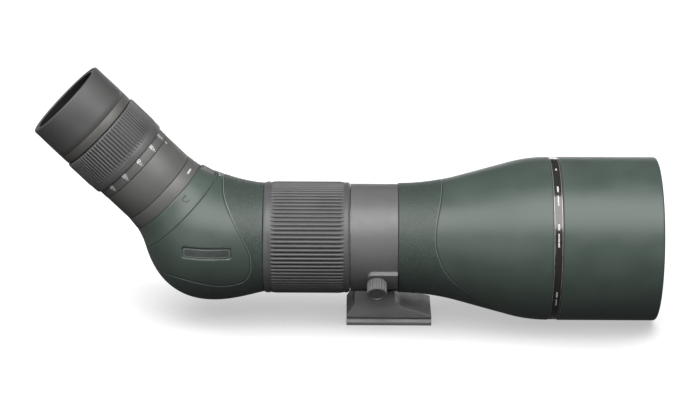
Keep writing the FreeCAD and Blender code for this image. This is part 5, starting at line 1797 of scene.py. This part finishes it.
@dataclass
class Eyepiece:
    """The eyepiece: base ring, shell, number ring, zoom grip, eyecup ring and eyecup."""

    axis: Axis
    patterns: Patterns
    base_bottom: float = 38.2 * MM
    base_radius: float = 27.9 * MM
    zoom_ribs: int = 80
    rib_start: float = 76.5 * MM
    figures: tuple[tuple[str, str], ...] = (
        ("27", "39"), ("30", "37"), ("40", "31"), ("50", "27"), ("60", "24"),
    )
    first_figure: float = 14.0
    figure_step: float = 27.0
    figure_rows: tuple[tuple[str, float, float], ...] = (
        ("zoom", 4.3 * MM, 2.2 * MM), ("field", 2.1 * MM, 1.5 * MM),
    )
    base_marks: tuple[tuple[float, int], ...] = ((-16.0, 6), (22.0, 7))
    base_mark_step: float = 1.6
    rib_rise: float = 0.62 * MM
    rib_width: float = 1.4 * MM
    cup_seam: float = 5.5 * MM
    cup_end: float = 127.5 * MM
    lip_radius: float = 1.3 * MM

    def build_base(self) -> None:
        """Base ring that flares towards the neck, and the plain shell above it."""
        bottom, top = self.axis.span("eyepiece_shell")
        radius = radius_of("eyepiece_shell")
        bore = radius - 2.6 * MM
        base = soften([
            (self.base_bottom + 0.2 * MM, bore), (self.base_bottom + 0.2 * MM, self.base_radius),
            (bottom - 0.2 * MM, radius + 0.1 * MM), (bottom - 0.2 * MM, bore),
        ], 0.3 * MM, 3)
        ring = lathe("eyepiece_base", self.axis, base, Finish.SHELL, 256)
        for start, count in self.base_marks:
            dash = bar(self.axis, bottom - 5.0 * MM, bottom - 3.8 * MM, self.base_radius - 0.40 * MM,
                       0.3 * MM, 0.12 * MM, Finish.MARK)
            self.patterns.turn(ring, dash, self.axis, count, Finish.MARK, start, self.base_mark_step)
        put(ring, "scope", "gunmetal", "eyepiece_base_ring")
        shell = sleeve(bottom + 0.12 * MM, top - 0.12 * MM, bore, radius, 0.28 * MM)
        body = lathe("eyepiece_shell_skin", self.axis, shell, Finish.SHELL, 256)
        tick = bar(self.axis, top - 2.6 * MM, top - 0.7 * MM, radius + 0.01 * MM, 0.5 * MM, 0.02 * MM,
                   Finish.MARK)
        self.patterns.turn(body, tick, self.axis, 1, Finish.MARK, self.first_figure)
        put(body, "scope", "gunmetal", "eyepiece_shell")

    def build_numbers(self) -> None:
        """Number ring with zoom figures and fine ticks."""
        bottom, top = self.axis.span("number_ring")
        radius = radius_of("number_ring")
        profile = sleeve(bottom, top, radius - 1.3 * MM, radius, 0.25 * MM)
        ring = lathe("number_ring_skin", self.axis, profile, Finish.SHELL, 256)
        tick = bar(self.axis, bottom + 0.3 * MM, bottom + 0.9 * MM, radius + 0.01 * MM, 0.24 * MM,
                   0.02 * MM, Finish.MARK)
        self.patterns.turn(ring, tick, self.axis, len(self.figures), Finish.MARK, self.first_figure,
                           self.figure_step)
        put(ring, "zoom_ring", "gunmetal", "number_ring")
        figures = []
        for place, pair in enumerate(self.figures):
            angle = self.first_figure + self.figure_step * place
            for text, (row, rise, height) in zip(pair, self.figure_rows):
                figures.append(wrap_text(row + "_" + pair[0], text, self.axis, bottom + rise,
                                         radius + 0.02 * MM, angle, height, Finish.MARK))
        put(merged("zoom_figures", figures), "zoom_ring", "gunmetal")

    def build_zoom(self) -> None:
        """Zoom grip: ribs from its top edge that fade into a smooth lower part."""
        low = self.axis.span("number_ring")[1]
        high = self.axis.span("zoom_sleeve")[1]
        crest = radius_of("zoom_grip")
        bore = radius_of("zoom_sleeve")
        floor = crest - self.rib_rise
        profile = soften([
            (low + 0.12 * MM, bore), (low + 0.12 * MM, crest - 0.75 * MM),
            (low + 0.9 * MM, crest - 0.45 * MM), (self.rib_start - 0.8 * MM, crest - 0.28 * MM),
            (self.rib_start + 2.6 * MM, floor + 0.04 * MM), (high - 1.3 * MM, floor),
            (high - 0.25 * MM, floor - 0.35 * MM), (high - 0.25 * MM, bore),
        ], 0.4 * MM, 3)
        grip = lathe("zoom_grip_ribbed", self.axis, profile, Finish.GRIP, 320, 40.0)
        # A darker sleeve just under the ribs' feet: painted shade in the grooves between the ribs.
        valley = [(self.rib_start + 2.0 * MM, bore), (self.rib_start + 2.4 * MM, floor + 0.08 * MM),
                  (high - 1.2 * MM, floor + 0.03 * MM), (high - 1.2 * MM, bore)]
        put(lathe("zoom_grip_valleys", self.axis, valley, Finish.VALLEY, 320), "zoom_ring", "gunmetal")
        unit = rib(self.axis, self.rib_start - 1.2 * MM, high - 0.45 * MM, floor - 0.3 * MM,
                   crest - 0.03 * MM, self.rib_width, Finish.GRIP, 5.0 * MM, 1.3 * MM)
        self.patterns.turn(grip, unit, self.axis, self.zoom_ribs, Finish.GRIP, 2.0)
        put(grip, "zoom_ring", "gunmetal", "zoom_grip")

    def build_cup(self) -> None:
        """Bronze-grey ring and the soft eyecup with its rolled lip."""
        foot = self.axis.span("zoom_sleeve")[1] + 0.5 * MM
        seam = foot + self.cup_seam
        end = self.cup_end
        lip = self.lip_radius
        radius = radius_of("eyecup_sleeve")
        bore = radius - 3.5 * MM
        ring = soften([(foot, bore), (foot, radius - 0.1 * MM), (seam, radius + 0.02 * MM),
                       (seam, radius - 2.4 * MM), (seam + 16.5 * MM, radius - 2.4 * MM),
                       (seam + 16.5 * MM, bore)], 0.3 * MM, 3)
        put(lathe("eyecup_ring", self.axis, ring, Finish.BRONZE, 256), "eyecup", "ring_bronze",
            "eyecup_sleeve")
        profile = [(seam + 0.12 * MM, radius - 2.35 * MM), (seam + 0.12 * MM, radius - 0.35 * MM),
                   (seam + 0.55 * MM, radius - 0.02 * MM), (seam + 4 * MM, radius + 0.02 * MM),
                   (seam + 12 * MM, radius - 0.05 * MM)]
        for step in range(13):
            turn = math.radians(150.0 * step / 12)
            profile.append((end - lip + lip * math.sin(turn), radius - 1.45 * MM + lip * math.cos(turn)))
        profile += [(end - 0.45 * MM, radius - 4.2 * MM), (end - 1.0 * MM, radius - 4.75 * MM),
                    (seam + 17.0 * MM, radius - 4.7 * MM), (seam + 17.0 * MM, radius - 2.35 * MM)]
        put(lathe("eyecup_soft", self.axis, profile, Finish.CUP, 256, 50.0), "eyecup", "eyecup_rubber",
            "eyecup_rubber")
        # A near-black sheet inside the eyecup's mouth: painted shade in the hollow.
        lining = [(seam + 16.6 * MM, radius - 4.9 * MM), (end - 1.0 * MM, radius - 4.85 * MM),
                  (end - 0.62 * MM, radius - 4.4 * MM), (end - 1.4 * MM, radius - 3.9 * MM),
                  (seam + 16.6 * MM, radius - 3.9 * MM)]
        put(lathe("eyecup_lining", self.axis, lining, Finish.SHADE, 192, 50.0), "eyecup", "eyecup_rubber")

    def build(self) -> None:
        """Make the whole eyepiece."""
        self.build_base()
        self.build_numbers()
        self.build_zoom()
        self.build_cup()


# --- collar and foot ---------------------------------------------------------------------------------------

@dataclass
class Mount:
    """Tripod collar, its neck and dovetail foot, the clamp boss and the lock knob."""

    axis: Axis
    patterns: Patterns
    collar_radius: float = 34.05 * MM
    collar_bore: float = 31.7 * MM
    neck_back: float = -21.9 * MM
    neck_front: float = 2.6 * MM
    plate_top: float = 6.5 * MM
    half_width: float = 19.0 * MM
    edge_height: float = 2.1 * MM
    bevel_depth: float = 2.1 * MM
    groove_depth: float = 0.35 * MM
    rear_flare: tuple[float, float, float] = (11.4 * MM, 18.2 * MM, -0.9 * MM)
    front_flare: tuple[float, float, float] = (22.0 * MM, 12.2 * MM, -2.0 * MM)
    rear_flare_inset: float = 3.3 * MM
    front_flare_end: float = 8.2 * MM
    pocket_start: float = 25.0 * MM
    pocket_end: float = 36.0 * MM
    pocket_radius: float = 4.75 * MM
    boss_root: float = 26.0 * MM
    boss_face: float = 36.4 * MM
    boss_back: float = -13.8 * MM
    boss_half: float = 7.0 * MM
    boss_corner: float = 3.4 * MM
    knob_start: float = 36.8 * MM
    knob_length: float = 9.2 * MM
    knob_radius: float = 6.3 * MM
    knob_groove: float = 0.8 * MM
    knob_ribs: int = 18
    face_rings: int = 6

    def clamp_axis(self) -> Axis:
        """The lock knob's own axis.

        Returns:
            The axis, its stations counted from the optical axis.
        """
        joint = next(j for j in frame["joints"] if j["name"] == "shoe_travel")
        knob = next(j for j in frame["joints"] if j["name"] == "knob_turn")
        way = Vector(joint["axis"]).normalized()
        origin = Vector((knob["pos_m"][0], 0.0, self.axis.origin.z))
        up = Vector((0.0, way.z, -way.y))
        up = up if up.z > 0 else -up
        return Axis(origin, way, up, Vector((1.0, 0.0, 0.0)))

    def build_ring(self) -> None:
        """The collar ring with softened edges."""
        back, front = self.span()
        profile = sleeve(back, front, self.collar_bore, self.collar_radius, 0.3 * MM)
        ring = lathe("collar_ring", self.axis, profile, Finish.COLLAR, 256)
        inner, outer, wide = self.pocket_start, self.pocket_end, self.pocket_radius
        pocket = [(inner, 0.0), (inner, wide), (outer, wide), (outer, 0.0)]
        shoe_pocket = lathe("shoe_pocket", self.clamp_axis(), pocket, Finish.COLLAR, 64)
        put(carved(ring, shoe_pocket), "mount", "collar_metal", "tripod_collar")

    def span(self) -> tuple[float, float]:
        """First and last X of the collar ring."""
        low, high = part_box("collar_liner")
        return low.x - 0.2 * MM, high.x + 0.2 * MM

    def arc(self, start: Vector, end: Vector, bulge: float, steps: int = 10) -> list[Vector]:
        """A shallow arc between two points of one XZ plane.

        Args:
            start: First point.
            end: Last point.
            bulge: How far it bows to the left of its way.
            steps: Steps along it.

        Returns:
            Its points.
        """
        chord = end - start
        side = Vector((-chord.z, 0.0, chord.x)).normalized()
        radius = (chord.length ** 2 / 4 + bulge ** 2) / (2 * abs(bulge))
        sign = 1.0 if bulge > 0 else -1.0
        centre = (start + end) / 2 + side * (bulge - sign * radius)
        first = math.atan2((start - centre).z, (start - centre).x)
        sweep = math.atan2((end - centre).z, (end - centre).x) - first
        sweep = (sweep + math.pi) % (2 * math.pi) - math.pi
        turns = [first + sweep * k / steps for k in range(steps + 1)]
        return [centre + Vector((math.cos(turn), 0.0, math.sin(turn))) * radius for turn in turns]

    def build_foot(self) -> None:
        """Neck with its concave flares, and the dovetail plate under it."""
        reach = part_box("tripod_collar")[1].x
        near = -self.half_width + 0.3 * MM
        top = self.axis.origin.z - self.collar_bore * 0.93
        (rear_foot, rear_top, rear_bow), (front_top, front_foot, front_bow) = self.rear_flare, self.front_flare
        rear = self.arc(Vector((-reach + self.rear_flare_inset, near, rear_foot)),
                        Vector((self.neck_back, near, rear_top)), rear_bow)
        front = self.arc(Vector((self.neck_front, near, front_top)),
                         Vector((self.front_flare_end, near, front_foot)), front_bow)
        low, high = self.plate_top - 1.5 * MM, self.plate_top
        outline = [Vector((-reach, near, low)), Vector((-reach, near, high))] + rear
        outline += [Vector((self.neck_back, near, top)), Vector((self.neck_front, near, top))] + front
        outline += [Vector((reach, near, high)), Vector((reach, near, low))]
        neck = prism("foot_neck", outline, Vector((0.0, -2 * near, 0.0)), Finish.COLLAR)
        put(bevelled(neck, 0.35 * MM, 3, 24.0), "mount", "collar_metal")
        wide = self.half_width
        edge, inner = self.edge_height, wide - self.groove_depth
        half = [(wide, 0.0), (wide, edge), (wide - self.bevel_depth, edge + self.bevel_depth),
                (inner, 5.6 * MM), (inner, self.plate_top - 0.3 * MM)]
        section = [Vector((-reach, y, z)) for y, z in half] + [Vector((-reach, -y, z)) for y, z in half[::-1]]
        plate = prism("foot_plate", section, Vector((2 * reach, 0.0, 0.0)), Finish.COLLAR)
        put(bevelled(plate, 0.3 * MM, 3, 24.0), "mount", "collar_metal")

    def build_boss(self) -> None:
        """The clamp boss that stands out of the collar around the knob's screw."""
        axis = self.clamp_axis()
        half, corner = self.boss_half, self.boss_corner
        left = self.boss_back - axis.origin.x
        right = self.span()[1] - axis.origin.x
        outline = []
        for degrees in range(0, 91, 15):
            turn = math.radians(degrees)
            outline.append((left + corner - corner * math.cos(turn), half - corner + corner * math.sin(turn)))
        outline += [(right, half), (right, -half), (left, -half)]
        root = axis.origin + axis.along * self.boss_root
        points = [root + Vector((x, 0.0, 0.0)) + axis.upper * u for x, u in outline]
        boss = prism("clamp_boss", points, axis.along * (self.boss_face - self.boss_root), Finish.COLLAR)
        put(bevelled(boss, 0.35 * MM, 3), "mount", "collar_metal")

    def build_knob(self) -> None:
        """Fluted lock knob with a recessed plain face."""
        axis = self.clamp_axis()
        start, end = self.knob_start, self.knob_start + self.knob_length
        radius, core = self.knob_radius, self.knob_radius - self.knob_groove
        face = end - 0.45 * MM
        profile = [(start, 0.0), (start, core - 0.5 * MM), (start + 0.5 * MM, core), (end - 0.9 * MM, core),
                   (end - 0.55 * MM, radius - 0.05 * MM), (end - 0.15 * MM, radius - 0.35 * MM),
                   (end, radius - 0.75 * MM), (end, radius - 1.35 * MM), (face, radius - 1.55 * MM)]
        for ring in range(self.face_rings):
            r = (radius - 1.7 * MM) * (1 - ring / self.face_rings)
            profile += [(face, r), (face + 0.08 * MM, r - 0.35 * MM)]
        profile.append((face, 0.0))
        knob = lathe("lock_knob_fluted", axis, profile, Finish.COLLAR, 144)
        unit = rib(axis, start + 0.2 * MM, end - 0.5 * MM, core - 0.3 * MM, radius, 1.3 * MM, Finish.COLLAR,
                   0.8 * MM, 0.5 * MM)
        self.patterns.turn(knob, unit, axis, self.knob_ribs, Finish.COLLAR)
        put(knob, "knob", "collar_metal", "lock_knob")

    def build(self) -> None:
        """Make the collar, foot, boss and knob."""
        self.build_ring()
        self.build_foot()
        self.build_boss()
        self.build_knob()


# --- stage -------------------------------------------------------------------------------------------------

@dataclass
class Studio:
    """Pale floor, soft lights and the camera."""

    target: Vector
    distance: float = 1.45
    elevation: float = 18.0
    roll: float = 0.28
    focal: float = 118.0
    sensor: float = 36.0
    floor_reach: float = 8.0
    floor_glow: float = 0.8
    shade_reach: float = 0.05
    ambient: float = 0.05
    lights: tuple[tuple[str, tuple[float, float, float], tuple[float, float], float], ...] = (
        ("softbox_above_front", (0.0, -0.71, 1.08), (2.4, 1.1), 42.5),
        ("low_front_fill", (-0.9, -1.5, 0.15), (2.0, 0.5), 6.5),
        ("back_fill", (0.3, 1.9, 0.12), (2.4, 0.4), 6.0),
    )

    def build_floor(self) -> None:
        """A wide, flat, pale floor."""
        reach = self.floor_reach
        verts = [(-reach, -reach, 0.0), (reach, -reach, 0.0), (reach, reach, 0.0), (-reach, reach, 0.0)]
        floor = new_piece("studio_floor", verts, [(0, 1, 2, 3)], Finish.MARK)
        g = Graph("studio_white")
        near = g.add("ShaderNodeAmbientOcclusion", samples=8, Distance=self.shade_reach)
        shade = g.spread(near.outputs["AO"], 0.12, 1.0, 0.35, 0.98)
        floor.data.materials[0] = g.surface(
            Base_Color=g.blend(shade, (0.10, 0.10, 0.10), (0.40, 0.40, 0.40)), Roughness=0.9,
            Specular_IOR_Level=0.0, Emission_Color=g.blend(shade, (0.55, 0.55, 0.55), (1.0, 1.0, 1.0)),
            Emission_Strength=self.floor_glow)
        floor.visible_diffuse = False
        floor.visible_glossy = False

    def light(self, name: str, place: tuple[float, float, float], size: tuple[float, float],
              power: float) -> None:
        """A soft rectangular light aimed at the scope.

        Args:
            name: The light's name.
            place: Where it stands.
            size: Its length and height.
            power: Its power in watts.
        """
        data = bpy.data.lights.new(name, "AREA")
        data.shape = "RECTANGLE"
        data.size, data.size_y = size
        data.energy = power
        lamp = bpy.data.objects.new(name, data)
        lamp.location = place
        aim = self.target - Vector(place)
        lamp.rotation_euler = aim.to_track_quat("-Z", "Y").to_euler()
        bpy.context.scene.collection.objects.link(lamp)

    def build_world(self) -> None:
        """White surroundings that light the scope only faintly."""
        world = bpy.data.worlds.new("room")
        world.use_nodes = True
        tree = world.node_tree
        seen = tree.nodes.new("ShaderNodeLightPath").outputs["Is Camera Ray"]
        level = tree.nodes.new("ShaderNodeMapRange")
        tree.links.new(seen, level.inputs["Value"])
        level.inputs["To Min"].default_value = self.ambient
        level.inputs["To Max"].default_value = 1.0
        tree.links.new(level.outputs[0], tree.nodes["Background"].inputs["Strength"])
        tree.nodes["Background"].inputs["Color"].default_value = (1.0, 1.0, 1.0, 1.0)
        bpy.context.scene.world = world

    def build_camera(self) -> None:
        """Camera a little above the scope, square on to its near side."""
        lift = math.radians(self.elevation)
        back = Vector((0.0, -math.cos(lift), math.sin(lift)))
        data = bpy.data.cameras.new("view")
        data.lens = self.focal
        data.sensor_width = self.sensor
        data.clip_start = 0.01
        camera = bpy.data.objects.new("view", data)
        camera.location = self.target + back * self.distance
        turn = (-back).to_track_quat("-Z", "Y") @ Euler((0.0, 0.0, math.radians(self.roll))).to_quaternion()
        camera.rotation_euler = turn.to_euler()
        bpy.context.scene.collection.objects.link(camera)
        bpy.context.scene.camera = camera

    def build(self) -> None:
        """Set the stage."""
        self.build_floor()
        for row in self.lights:
            self.light(*row)
        self.build_world()
        bpy.context.scene.view_settings.view_transform = "Standard"
        self.build_camera()


def dress_cad() -> None:
    """Give every CAD node that keeps its own shape the finish of its material slot."""
    slots = {row["node"]: row["material_slot"] for row in frame["record"]["subparts"]}
    for name, node in frame["nodes"].items():
        node.data.materials.clear()
        node.data.materials.append(SLOT_FINISH[slots[name]].material)


def main() -> None:
    """Build every sub-assembly in order."""
    logging.basicConfig(level=logging.INFO, format="%(message)s")
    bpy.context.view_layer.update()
    optical = Axis.of_joint("collar_turn")
    eye = Axis.of_joint("zoom_turn")
    patterns = Patterns()
    front = FrontEnd(optical, patterns)
    parts = [front, FocusRing(optical, patterns), Housing(optical, eye, front), Eyepiece(eye, patterns),
             Mount(optical, patterns)]
    dress_cad()
    for part in parts:
        part.build()
    Studio(Vector((-25.0 * MM, 0.0, optical.origin.z + 21.87 * MM))).build()
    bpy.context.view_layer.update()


if __name__ == "__main__":
    main()
